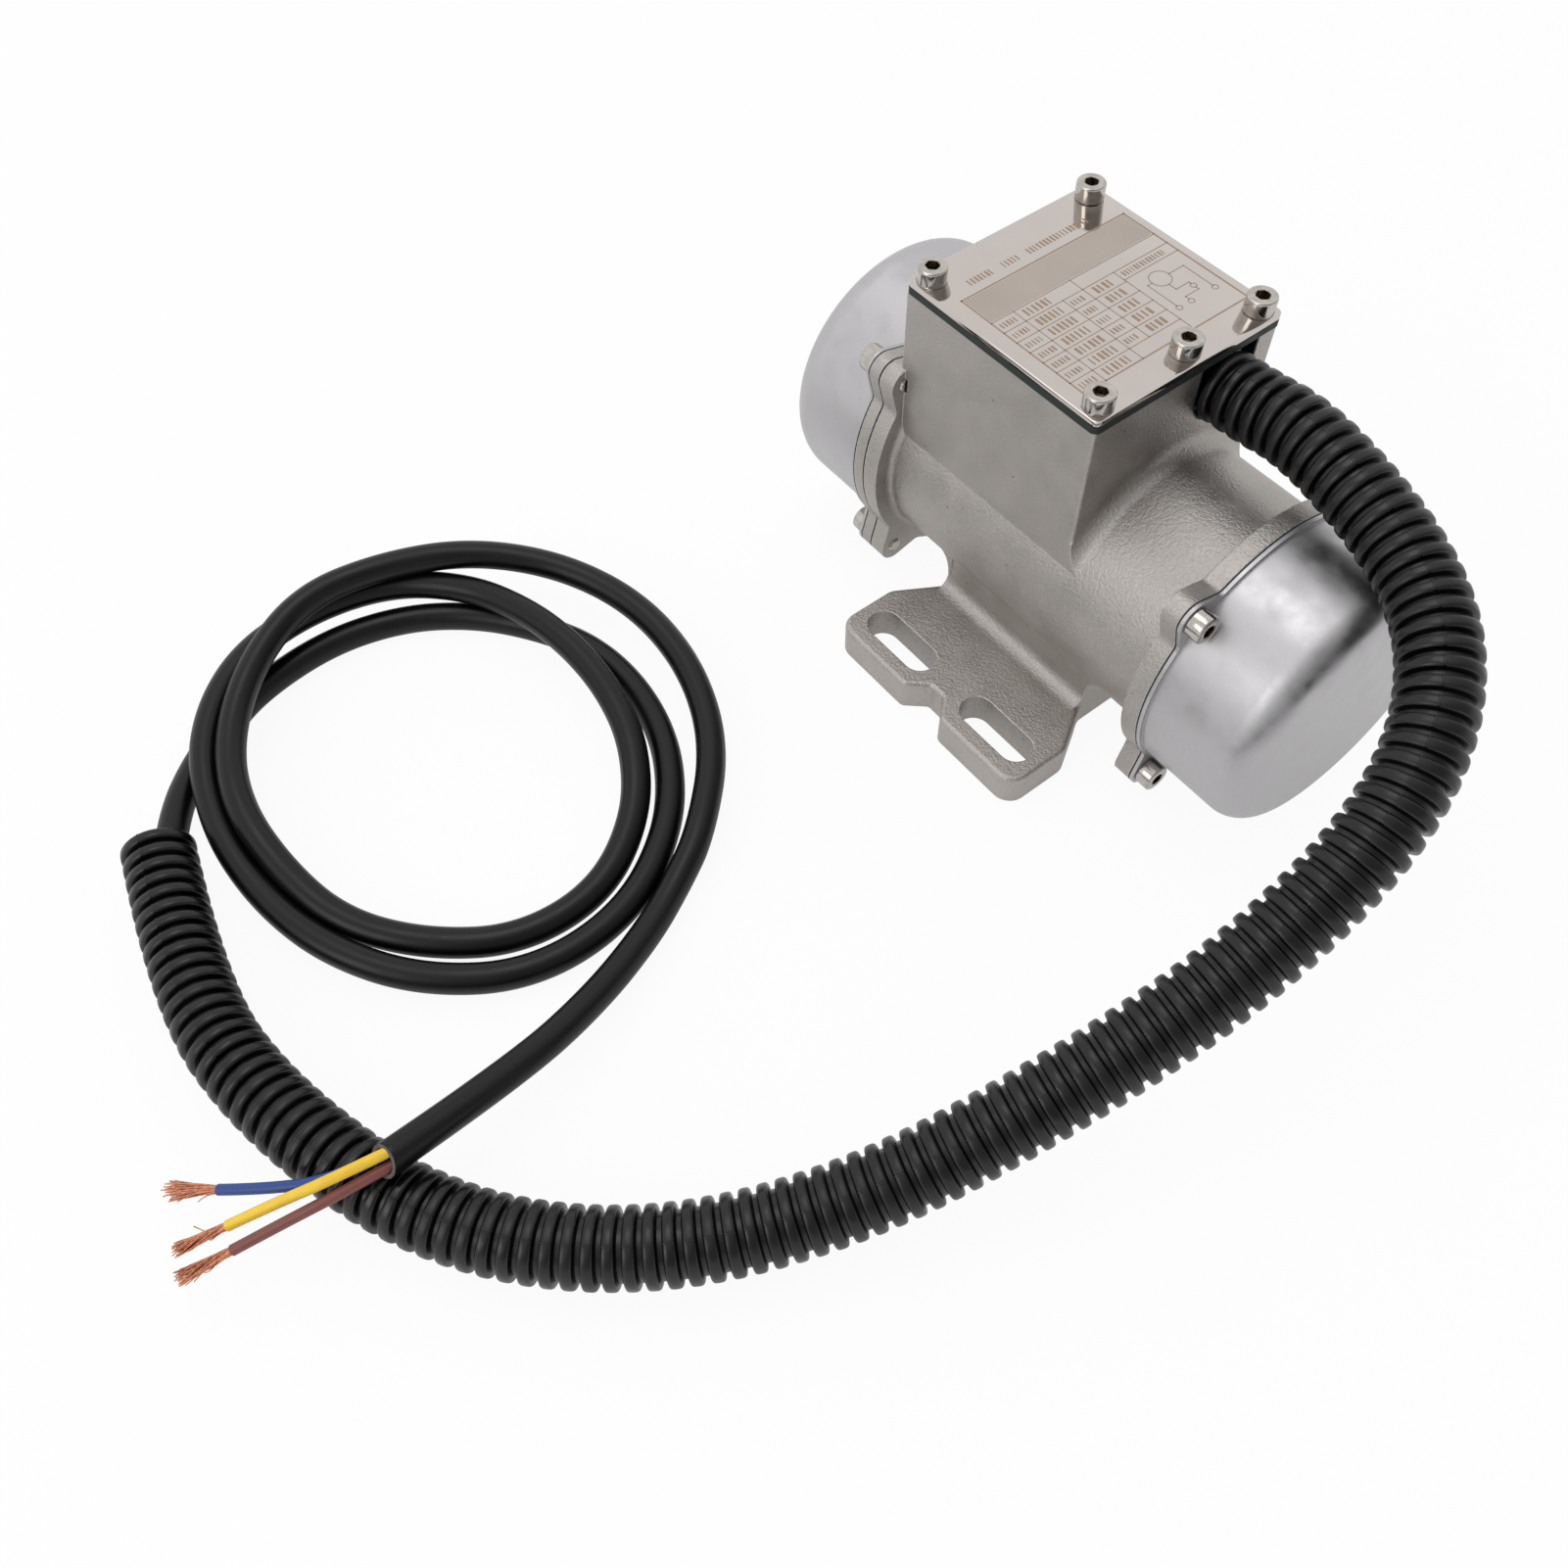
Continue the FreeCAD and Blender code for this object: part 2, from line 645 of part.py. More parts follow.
def shaft():
    body = disc(-shaft_half - rear_shift, shaft_half, bearing_bore_r)
    body = body.fuse(disc(-bearing_x, bearing_x, shaft_mid_r))
    cuts = shaft_end_cuts()
    return body.cut(cuts + [at_rear(cut) for cut in cuts])


def around_axis(shape, count):
    """Copies of a piece, spread round the shaft axis."""
    copies = []
    for i in range(count):
        copy = shape.copy()
        copy.rotate(Vector(0, 0, axis_height), X, 360 * i / count)
        copies.append(copy)
    return copies


def cage_bar(grow):
    """One bar of the squirrel cage; grow widens it into its slot's cutter."""
    top = axis_height + rotor_r - cage_bridge
    half = cage_bar_width / 2 + grow
    return box(-core_half, core_half, -half, half, top - cage_bar_depth - grow, top + grow)


def rotor_core():
    core = ring(-core_half, core_half, rotor_r, shaft_mid_r)
    return core.cut(around_axis(cage_bar(0), cage_bars))


def rotor_cage():
    ends = [ring(core_half, core_half + cage_ring, cage_outer_r, cage_inner_r)]
    ends.append(mirrored(ends[0]))
    return ends[0].multiFuse(ends[1:] + around_axis(cage_bar(0), cage_bars)).removeSplitter()


# ---------------------------------------------------------------- stator
def stator_core():
    bore = rotor_r + air_gap
    core = ring(-core_half, core_half, bore_r, bore)
    mouth = bore + tooth_tip
    slot_room = box(-core_half, core_half, -slot_cut_width / 2, slot_cut_width / 2,
                    axis_height + mouth, axis_height + slot_floor_r)
    opening = box(-core_half, core_half, -slot_opening / 2, slot_opening / 2,
                  axis_height + bore - 1, axis_height + mouth)
    return core.cut(around_axis(slot_room.fuse(opening), stator_slots))


def polygon_ring(x0, x1, outer_r, inner_r, sides):
    """Flat-sided ring, as laced end turns lie from slot to slot."""
    solids = []
    for radius in (outer_r, inner_r):
        points = [Vector(x0, radius * math.sin(2 * math.pi * (i + 0.5) / sides),
                         axis_height + radius * math.cos(2 * math.pi * (i + 0.5) / sides))
                  for i in range(sides)]
        solids.append(prism(points, [0] * sides, X * (x1 - x0)))
    return solids[0].cut(solids[1])


def stator_winding():
    """Coil sides in the slots, and the laced end turns beyond both ends of the core."""
    mouth = rotor_r + air_gap + tooth_tip
    side = box(-core_half, core_half, winding_gap - slot_cut_width / 2, slot_cut_width / 2 - winding_gap,
               axis_height + mouth + winding_gap, axis_height + slot_floor_r - winding_gap)
    ends = polygon_ring(core_half, winding_half, winding_outer_r, winding_inner_r, stator_slots)
    return ends.multiFuse([mirrored(ends)] + around_axis(side, stator_slots)).removeSplitter()


# ---------------------------------------------------------------- eccentric weights
def on_shaft(shape, x):
    """Stand a piece made about Z on the shaft at x, its +X side hanging down."""
    shape.rotate(Vector(0, 0, 0), Y, 90)
    shape.translate(Vector(x, 0, axis_height))
    return shape


def weight_blank():
    angle = 2 * weight_half_angle
    sector = Part.makeCylinder(weight_r, weight_thickness, Vector(0, 0, 0), Z, angle)
    sector.rotate(Vector(0, 0, 0), Z, -weight_half_angle)
    return sector.fuse(Part.makeCylinder(weight_hub_r, weight_thickness))


def shaft_hole():
    return Part.makeCylinder(bearing_bore_r, weight_thickness)


def front_fixed_weight():
    """Keyed weight next to the bearing."""
    key_top = bearing_bore_r - key_into_shaft + key_width
    keyway = box(-key_top, 0, -key_width / 2, key_width / 2, 0, weight_thickness)
    return on_shaft(weight_blank().cut([shaft_hole(), keyway]), fixed_x)


def front_weight_key():
    low = axis_height + bearing_bore_r - key_into_shaft
    return box(fixed_x, fixed_x + weight_thickness, -key_width / 2, key_width / 2, low, low + key_width)


def clamp_screw_u():
    return -(weight_hub_r + lug_reach) / 2


def front_adjustable_weight():
    """Outer weight with a split clamp hub, turned on the shaft to set the force."""
    lug = box(-lug_reach, 0, -lug_width / 2, lug_width / 2, 0, weight_thickness)
    slit = box(-lug_reach, 0, -clamp_slit / 2, clamp_slit / 2, 0, weight_thickness)
    hole = Part.makeCylinder(clamp_screw_r + thread_gap, lug_width,
                             Vector(clamp_screw_u(), -lug_width / 2, weight_thickness / 2), Y)
    bore = Part.makeCylinder(bearing_bore_r + thread_gap, weight_thickness)
    return on_shaft(weight_blank().fuse(lug).removeSplitter().cut([bore, slit, hole]), loose_x)


def front_clamp_screw():
    start = -lug_width / 2
    place = Vector(clamp_screw_u(), start, weight_thickness / 2)
    head = Part.makeCylinder(clamp_head_r, clamp_head_height, place, Y * -1)
    return on_shaft(head.fuse(Part.makeCylinder(clamp_screw_r, lug_width, place, Y)), loose_x)


def front_spacer():
    return ring(bearing_end, fixed_x, spacer_r, bearing_bore_r)


def rear_spacer():
    return ring(-fixed_x - rear_shift, -bearing_end, spacer_r, bearing_bore_r)


def front_circlip():
    """Retaining ring in its groove, open at the top."""
    clip = ring(0, circlip_thickness, circlip_r, bearing_bore_r - circlip_groove)
    clip.translate(X * circlip_x)
    gap = Part.makeCylinder(2 * circlip_r, circlip_thickness, Vector(circlip_x, 0, axis_height), X,
                            circlip_opening)
    return clip.cut(gap)


# ---------------------------------------------------------------- inside the terminal box
def terminal_block():
    """Three-pole block: a base with walls between its clamp screws."""
    x1 = pad_x + pad_length
    y1 = pad_y + pad_width
    body = box(pad_x, x1, pad_y, y1, pad_top, pad_top + block_height)
    pole = (pad_width - 4 * block_wall) / 3
    wells = []
    for i in range(3):
        y0 = pad_y + block_wall + i * (pole + block_wall)
        for x0 in (pad_x + block_wall, pad_x + pad_length / 2 + block_wall / 2):
            wells.append(box(x0, x0 + (pad_length - 3 * block_wall) / 2, y0, y0 + pole,
                             pad_top + block_height / 2, pad_top + block_height))
    return body.cut(wells)


def run_capacitor():
    """Flat plastic capacitor lying beside the barrel's crown."""
    y1 = box_wall - box_half_width + capacitor_gap + capacitor_width
    rest = axis_height + math.sqrt(barrel_r ** 2 - y1 ** 2)
    body = box(capacitor_x, capacitor_x + capacitor_length, y1 - capacitor_width, y1, rest,
               rest + capacitor_height)
    upright = [e for e in body.Edges if abs(e.Vertexes[0].Z - e.Vertexes[-1].Z) > 1]
    return body.makeFillet(capacitor_corner_r, upright)


def earth_screw():
    top = pad_top + earth_head_height
    head = Part.makeCylinder(screw_head_r, earth_head_height, Vector(earth_x, earth_y, pad_top), Z)
    slit = box(earth_x - screw_head_r, earth_x + screw_head_r, earth_y - earth_slit_width / 2,
               earth_y + earth_slit_width / 2, top - earth_slit_depth, top)
    shank = Part.makeCylinder(screw_r - thread_gap, earth_screw_length,
                              Vector(earth_x, earth_y, pad_top), Z * -1)
    return head.fuse(shank).cut(slit)


def conduit_seal():
    """Rubber saddle that fills the U notch round the conduit."""
    x0 = box_front_x - box_wall
    saddle = conduit_notch(x0, box_front_x, conduit_r + seal_wall)
    return saddle.cut(conduit_notch(x0, box_front_x, conduit_r))


# ---------------------------------------------------------------- conduit and cable
def tube(name, route, radius):
    """Round tube along straight runs joined by tangent arcs, with its radii printed."""
    points = [Vector(*p) for p in route]
    runs = [b.distanceToPoint(a) for a, b in zip(points, points[1:])]
    edges = []
    reached = points[0]
    radii = []
    for i in range(1, len(points) - 1):
        back = points[i - 1] - points[i]
        on = points[i + 1] - points[i]
        half_turn = (math.pi - back.getAngle(on)) / 2
        bend = 0.45 * min(runs[i - 1], runs[i]) / math.tan(half_turn)
        start, middle, end = corner(points[i - 1], points[i], points[i + 1], bend)
        edges.append(Part.LineSegment(reached, start).toShape())
        edges.append(Part.Arc(start, middle, end).toShape())
        radii.append(round(bend, 1))
        reached = end
    edges.append(Part.LineSegment(reached, points[-1]).toShape())
    path = Part.Wire(edges)
    section = Part.Wire(Part.Circle(points[0], points[1] - points[0], radius).toShape())
    solid = path.makePipeShell([section], True, False)
    share = solid.Volume / (math.pi * radius ** 2 * path.Length)
    low = solid.BoundBox.ZMin
    print(f"{name}: length {path.Length:.1f}, radii {radii}, volume share {share:.4f}, lowest {low:.2f}")
    return solid


def corridor(end, before):
    """Cutter that clears the ring of turns where a cable's end meets it square on."""
    along = (Vector(*before) - Vector(*end)).normalize()
    reach = 60.0
    half = cable_r + cord_gap
    cutter = Part.makeBox(reach, 2 * half, 2 * coil_height, Vector(0, -half, -coil_height / 2))
    cutter.rotate(Vector(0, 0, 0), Z, math.degrees(math.atan2(along.y, along.x)))
    cutter.translate(Vector(end[0], end[1], 0))
    return cutter


def ellipse_disc(centre, half_x, half_y):
    place = Vector(centre[0], centre[1], 0)
    curve = Part.Ellipse(place + X * half_x, place + Y * half_y, place)
    return Part.Face(Part.Wire(curve.toShape())).extrude(Z * coil_height)


def cable_coil(lead_in, tail):
    """Outer shape of the loose turns of cable, which lie flat on the floor."""
    turns = ellipse_disc(coil_centre, coil_half_x, coil_half_y)
    turns = turns.cut(ellipse_disc(coil_eye, coil_eye_half_x, coil_eye_half_y))
    return turns.cut([corridor(tail_route[0], tail_route[1]),
                      corridor(lead_in_route[-1], lead_in_route[-2]), lead_in, tail])


def core_strands():
    """Bare copper ends of the three cores, each straight on from its core."""
    ends = []
    for route in (blue_route, yellow_route, brown_route):
        start = Vector(*route[-1])
        ends.append(Part.makeCylinder(strands_r, strands_length, start, start - Vector(*route[-2])))
    return Part.makeCompound(ends)


def cords():
    """Conduit, cable and cores, each trimmed to meet the next face to face."""
    conduit = tube("conduit", conduit_route, conduit_r)
    lead_in = tube("cable_lead_in", lead_in_route, cable_r).cut(conduit)
    tail = tube("cable_tail", tail_route, cable_r)
    made = {"conduit": conduit, "cable_lead_in": lead_in, "cable_tail": tail,
            "cable_coil": cable_coil(lead_in, tail), "core_strands": core_strands()}
    for name, route in (("blue", blue_route), ("yellow", yellow_route), ("brown", brown_route)):
        made["core_" + name] = tube("core_" + name, route, core_r).cut(tail)
    return made


# ---------------------------------------------------------------- all pieces
def pieces():
    made = {
        "motor_housing": motor_housing(),
        "rear_end_shield": rear_end_shield(),
        "end_shield_gasket": shield_gasket(),
        "front_cap": front_cap(),
        "rear_cap": at_rear(front_cap()),
        "front_cap_gasket": rim_gasket(body_half, cap_front_x),
        "rear_cap_gasket": rim_gasket(-cap_rear_x, -shield_end),
        "front_cap_screws": cap_screws(cap_front_x + cap_sheet, 1),
        "rear_cap_screws": cap_screws(-cap_rear_x - cap_sheet, -1),
        "terminal_cover": cover_plate(cover_base, cover_top),
        "terminal_cover_gasket": cover_gasket(),
        "terminal_cover_screws": cover_screws(),
        "terminal_block": terminal_block(),
        "run_capacitor": run_capacitor(),
        "earth_screw": earth_screw(),
        "conduit_seal": conduit_seal(),
        "stator_core": stator_core(),
        "stator_winding": stator_winding(),
        "front_bearing_outer_ring": bearing_outer(),
        "rear_bearing_outer_ring": mirrored(bearing_outer()),
        "front_bearing_inner_ring": bearing_inner(),
        "rear_bearing_inner_ring": mirrored(bearing_inner()),
        "bearing_preload_washer": preload_washer(),
        "shaft": shaft(),
        "front_spacer": front_spacer(),
        "rear_spacer": rear_spacer(),
        "rotor_core": rotor_core(),
        "rotor_cage": rotor_cage(),
    }
    by_end = {
        "fixed_weight": front_fixed_weight(),
        "weight_key": front_weight_key(),
        "adjustable_weight": front_adjustable_weight(),
        "clamp_screw": front_clamp_screw(),
        "circlip": front_circlip(),
    }
    for name, shape in by_end.items():
        made["front_" + name] = shape
        made["rear_" + name] = at_rear(shape)
    made.update(cords())
    return made


os.makedirs("parts", exist_ok=True)
for node, shape in pieces().items():
    if not shape.isValid():
        print("not valid:", node)
    shape.exportStep("parts/" + node + ".step")
    print(node, len(shape.Solids), round(shape.Volume, 1))
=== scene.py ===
# %% [markdown]
# # A small vibration motor
#
# The motor has a cast housing on slotted feet, two deep-drawn caps over its eccentric weights, a terminal
# box with a polished cover, and a supply cable that leaves the box in corrugated conduit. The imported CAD
# model is loaded as a fixed frame. The steps below add the cords, the small hardware and the finishes, all
# in metres in the same frame.

# %% Load the frame
import json
import math
import random

import bpy
from mathutils import Matrix, Vector

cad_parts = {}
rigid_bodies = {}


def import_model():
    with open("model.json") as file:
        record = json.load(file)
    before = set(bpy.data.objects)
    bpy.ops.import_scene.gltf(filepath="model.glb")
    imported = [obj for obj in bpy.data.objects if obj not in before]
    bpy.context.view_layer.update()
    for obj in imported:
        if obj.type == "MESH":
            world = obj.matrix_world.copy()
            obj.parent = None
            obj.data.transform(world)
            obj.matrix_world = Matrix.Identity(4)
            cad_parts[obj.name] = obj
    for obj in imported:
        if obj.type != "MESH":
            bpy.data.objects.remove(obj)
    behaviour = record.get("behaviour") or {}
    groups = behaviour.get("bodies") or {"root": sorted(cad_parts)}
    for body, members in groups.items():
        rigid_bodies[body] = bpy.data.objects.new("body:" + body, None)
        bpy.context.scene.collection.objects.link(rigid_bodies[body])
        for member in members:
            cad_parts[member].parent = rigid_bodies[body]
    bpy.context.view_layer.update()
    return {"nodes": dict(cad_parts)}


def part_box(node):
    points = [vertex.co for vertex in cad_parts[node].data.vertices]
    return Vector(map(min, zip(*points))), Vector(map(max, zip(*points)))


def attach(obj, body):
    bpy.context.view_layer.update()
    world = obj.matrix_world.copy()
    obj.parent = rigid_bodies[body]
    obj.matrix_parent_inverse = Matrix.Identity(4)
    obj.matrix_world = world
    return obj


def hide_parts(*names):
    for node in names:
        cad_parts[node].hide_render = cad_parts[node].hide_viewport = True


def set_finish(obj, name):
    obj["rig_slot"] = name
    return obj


MM = 0.001
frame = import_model()

# %% [markdown]
# ## Camera
#
# The camera stands beyond the front cap, on the cable's side, and looks down at about 56 degrees, close
# enough for a little perspective. It could be set by three angles, but two points are easier to read: where
# it stands and what it looks at. It comes first, because the cords are judged by what it sees of them.

# %% Set the camera
camera = bpy.data.objects.new("camera", bpy.data.cameras.new("camera"))
bpy.context.collection.objects.link(camera)
bpy.context.scene.camera = camera
camera.data.sensor_width = 36.0
camera.data.lens = 33.665
camera.data.clip_start = 0.01
stand = Vector((0.15729, -0.21688, 0.30469))
aim = Vector((0.00103, -0.10047, 0.01395))
tip = -1.38                   # degrees that the camera leans over sideways
turn = (aim - stand).to_track_quat("-Z", "Y").to_matrix().to_4x4()
camera.matrix_world = Matrix.Translation(stand) @ turn @ Matrix.Rotation(math.radians(tip), 4, "Z")
print("camera distance:", round((aim - stand).length, 3), "m")

# %% [markdown]
# ## Lines of the cords
#
# A cord is one smooth line with few control points. The conduit leaves the box straight out over the front
# flange, turns down beside the motor in a stiff bow, and lies on the floor round the coil. Bezier handles
# could draw that too, but a quadratic NURBS spline gives the even curve of something springy from its
# control points alone. Blender works out the points between them, and the ribs are set on those.

# %% Draw the conduit's line
def cord_line(name, places, radius=0.0):
    """Curve object with one NURBS spline whose control points are places, in millimetres."""
    data = bpy.data.curves.new(name, "CURVE")
    data.dimensions = "3D"
    spline = data.splines.new("NURBS")
    spline.points.add(len(places) - 1)
    for point, place in zip(spline.points, places):
        point.co = (*(Vector(place) * MM), 1)
        point.radius = MM
    spline.order_u = 3
    spline.use_endpoint_u = True
    spline.resolution_u = 16
    data.bevel_depth = radius
    data.bevel_resolution = 7
    data.use_fill_caps = True
    line = bpy.data.objects.new(name, data)
    bpy.context.collection.objects.link(line)
    return line


def points_on(line):
    """Points of the smooth line, as Blender works them out from its control points."""
    mesh = bpy.data.meshes.new_from_object(line)
    points = [vertex.co.copy() for vertex in mesh.vertices]
    bpy.data.meshes.remove(mesh)
    return points


conduit_route = [
    (5, 13.2, 83.2), (20, 13.1, 83), (40.2, 12.9, 86), (77.2, 5.6, 80.6), (98, -11.5, 75.7),
    (108.5, -34.5, 64.3), (108.5, -68, 44.7), (101.5, -107, 28.2), (89.5, -152, 12.6), (70, -191.5, 8.6),
    (39.5, -220.5, 8.6), (-3, -235.2, 8.6), (-39.5, -237.6, 8.6), (-81.8, -225.7, 8.6),
]
guide = cord_line("conduit_guide", conduit_route)
conduit_points = points_on(guide)
bpy.data.objects.remove(guide)
print("conduit line:", len(conduit_points), "points")

# %% [markdown]
# ## A skin through rings
#
# The ribbed conduit, the cable's cut end, the screws and the cover are all round or rounded outlines set one
# after another. Screw and Bevel modifiers could make some of them, but not the ribs with their seam or the
# hexagon sockets, so one function skins any list of rings. A second one finds where the rings of a tube
# belong: every ring stands square to the line and turns on from the last one with the least twist.

# %% Write the skin function
sharp_from = math.radians(38)      # faces that meet at less than this are shaded as one smooth surface


def skin(name, rings, close_start=False, close_end=False):
    """Mesh object through rings of equal numbers of points, with its ends closed if asked."""
    count = len(rings[0])
    faces = []
    for i in range(len(rings) - 1):
        for j in range(count):
            k = (j + 1) % count
            faces.append((i * count + j, i * count + k, (i + 1) * count + k, (i + 1) * count + j))
    if close_start:
        faces.append(tuple(range(count - 1, -1, -1)))
    if close_end:
        faces.append(tuple(range((len(rings) - 1) * count, len(rings) * count)))
    mesh = bpy.data.meshes.new(name)
    mesh.from_pydata([point for ring in rings for point in ring], [], faces)
    mesh.validate()
    mesh.polygons.foreach_set("use_smooth", [True] * len(mesh.polygons))
    mesh.set_sharp_from_angle(angle=sharp_from)
    piece = bpy.data.objects.new(name, mesh)
    bpy.context.collection.objects.link(piece)
    return piece


print("edges stay sharp from", round(math.degrees(sharp_from)), "degrees")

# %% Find stations along a line
def along(points, distances):
    """Place, normal and side at each distance along points, each turned on from the last one."""
    ways = [(b - a).normalized() for a, b in zip(points, points[1:])]
    reach = [0.0]
    for a, b in zip(points, points[1:]):
        reach.append(reach[-1] + (b - a).length)
    ahead = [ways[0]] + [(a + b).normalized() for a, b in zip(ways, ways[1:])] + [ways[-1]]
    stations = []
    normal = Vector((0, 0, 1))
    for distance in distances:
        i = max(0, min(len(ways) - 1, sum(r < distance for r in reach) - 1))
        share = (distance - reach[i]) / (reach[i + 1] - reach[i])
        way = ahead[i].lerp(ahead[i + 1], share).normalized()
        normal = (normal - way * normal.dot(way)).normalized()
        stations.append((points[i].lerp(points[i + 1], share), normal, way.cross(normal)))
    return stations


conduit_length = sum((b - a).length for a, b in zip(conduit_points, conduit_points[1:])) / MM
print("conduit:", round(conduit_length), "mm along its line")

# %% [markdown]
# ## Corrugated conduit
#
# The conduit is blow-moulded nylon: ribs every 4 mm with rounded shoulders and narrow grooves between them,
# and a faint mould seam on each rib. An Array modifier on a curve would stretch the ribs in the bends, so a
# profile of distance and radius is repeated along the line instead. The wall goes on round the rim and back
# into the bore, so that the cut end shows a round mouth.

# %% Lay out the conduit's profile
rib_pitch = 4.04
rib_profile = [               # distance along one rib and radius: a groove, a shoulder, a crest, a shoulder
    (0.0, 7.3), (0.14, 6.8), (1.05, 6.8), (1.22, 7.3), (1.36, 7.95), (1.54, 8.28), (1.9, 8.46),
    (2.35, 8.5), (2.9, 8.5), (3.4, 8.46), (3.74, 8.28), (3.92, 7.95),
]
rim_r = 7.6
rim_width = 0.1
bore_r = 6.3
bore_depths = (1, 6, 12, 18, 24)
seam_angle = 19.0             # degrees round from the top
seam_rise = 0.13
seam_above_r = 8.1            # the seam shows on the crests only
seam_half = 1.2
seam_sides = (-1.7, -1.0, 1.0, 1.7)
ring_step = 7.5
ribs = int(conduit_length / rib_pitch)
stops = [(rib * rib_pitch + distance, radius) for rib in range(ribs) for distance, radius in rib_profile]
mouth_at = stops[-1][0] + rim_width
stops += [(mouth_at, rim_r), (mouth_at, bore_r)] + [(mouth_at - depth, bore_r) for depth in bore_depths]
degrees = [i * ring_step for i in range(int(360 / ring_step))]
degrees = sorted(degrees + [seam_angle + side for side in seam_sides])
print("conduit:", ribs, "ribs,", len(stops), "rings of", len(degrees), "points")

# %% Build the ribbed conduit
rings = []
stations = along(conduit_points, [distance * MM for distance, _ in stops])
for (_, radius), (place, normal, side) in zip(stops, stations):
    ring = []
    for degree in degrees:
        on_seam = radius > seam_above_r and abs(degree - seam_angle) < seam_half
        angle = math.radians(degree)
        out = normal * math.cos(angle) + side * math.sin(angle)
        ring.append(place + out * (radius + (seam_rise if on_seam else 0.0)) * MM)
    rings.append(ring)
conduit = skin("conduit_ribbed", rings)
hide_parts("conduit")
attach(conduit, "motor_body")
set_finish(conduit, "conduit_plastic")
print("conduit:", len(conduit.data.polygons), "faces")

# %% [markdown]
# ## Cable and its coil
#
# The rubber cable comes out of the conduit's mouth, winds nearly three loose turns beside the motor, and its
# tail climbs over the conduit. A helix would be too even for turns that nothing ties, so a loop gives every
# sixteenth of a turn its own radius and height: the turns differ in size and fan out, and where one passes
# over another it rises in a long low hump.

# %% Wind the cable
cable_r = 3.7
lead_in = [(-77, -225.2, 7.2), (-88, -219.5, 6), (-99.5, -208.7, 4.6), (-106.5, -198, 3.8)]
tail = [(2.2, -133.7, 3.9), (9.2, -147, 4.2), (16.6, -166, 6.8), (22.6, -189, 12), (26.6, -219.6, 20.5)]
coil_middle = (-63.0, -156.0)
coil_start = -150.0           # degrees
coil_step = 22.5
turns = [                     # radius from the coil's middle and height of the cable's own middle
    (56.3, 3.9), (51.7, 3.7), (47.8, 3.7), (44.9, 3.7), (44.0, 3.7), (46.1, 4.3), (48.8, 3.7),
    (53.3, 3.7), (58.7, 3.7), (64.1, 3.7), (65.6, 3.7), (62.3, 4.9), (58.7, 5.7), (56.5, 6.4),
    (57.6, 8.3), (60.4, 10.8), (61.5, 11.6), (60.3, 9.0), (56.6, 8.7), (48.9, 10.2), (42.2, 11.6),
    (39.7, 11.2), (40.8, 9.7), (44.9, 8.0), (50.3, 5.5), (55.3, 3.7), (56.0, 3.7), (53.0, 4.6),
    (51.5, 5.5), (49.5, 8.0), (51.1, 11.8), (53.2, 12.4), (54.8, 15.1), (57.9, 16.6), (56.1, 16.3),
    (57.2, 15.1), (59.9, 11.4), (61.7, 9.1), (62.9, 7.1), (64.7, 6.2), (66.7, 6.3),
]
corner_pull = 1.0195          # the spline runs this much inside its control points
coil = []
for i, (radius, height) in enumerate(turns):
    angle = math.radians(coil_start - coil_step * i)
    coil.append((coil_middle[0] + radius * corner_pull * math.cos(angle),
                 coil_middle[1] + radius * corner_pull * math.sin(angle), height))
cable = cord_line("cable", lead_in + coil + tail, cable_r)
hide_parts("cable_lead_in", "cable_coil", "cable_tail")
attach(cable, "motor_body")
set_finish(cable, "cable_rubber")
print("cable:", len(coil), "points in its turns")

# %% [markdown]
# ## Stripped end of the cable
#
# The jacket is cut back a little aslant and stands open as a thin-walled sleeve round a dark filler, and its
# cut edge is paler than the skin. A Boolean could cut the curve's end, but it would leave rough faces, so
# three short sleeves are skinned there: the skin, the cut and the filler. Three insulated cores come out of
# it and part, with the yellow one on top.

# %% Cut the jacket's end
tail_end = Vector(tail[-1]) * MM
tail_way = (Vector(tail[-1]) - Vector(tail[-2])).normalized()
cut_slant = -0.3              # lean of the cut along the cable, as a share of the radius
slant_from = 1                # millimetres past the curve's end where the lean starts


def square_ring(middle, way, radius, count=40, slant=0.0):
    """Circle of points square to way, or leaning over by slant."""
    across = way.cross(Vector((0, 0, 1))).normalized()
    up = across.cross(way)
    ring = []
    for i in range(count):
        angle = 2 * math.pi * i / count
        lift = up * math.sin(angle) + across * math.cos(angle)
        ring.append(middle + lift * radius + way * (slant * radius * math.sin(angle)))
    return ring


def sleeve(name, profile, close_end):
    """Part of the jacket's end: rings of distance and radius, slanting towards the cut."""
    rings = [square_ring(tail_end + tail_way * distance * MM, tail_way, radius * MM,
                         slant=cut_slant if distance > slant_from else 0.0) for distance, radius in profile]
    piece = skin(name, rings, close_end=close_end)
    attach(piece, "motor_body")
    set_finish(piece, "cable_rubber")
    return piece


skin_profile = [(-1.0, cable_r - 0.02), (0.0, cable_r), (1.9, cable_r), (2.0, cable_r - 0.1)]
cut_profile = [(2.0, cable_r - 0.1), (2.05, cable_r - 0.2), (2.05, 2.8), (2.0, 2.75)]
filler_profile = [(2.0, 2.75), (1.8, 2.7), (0.4, 2.65)]
jacket_end = sleeve("cable_jacket_end", skin_profile, close_end=False)
jacket_cut = sleeve("cable_jacket_cut", cut_profile, close_end=False)
filler = sleeve("cable_filler", filler_profile, close_end=True)
print("jacket ends", round(skin_profile[-1][0], 1), "mm past the cable's curve")

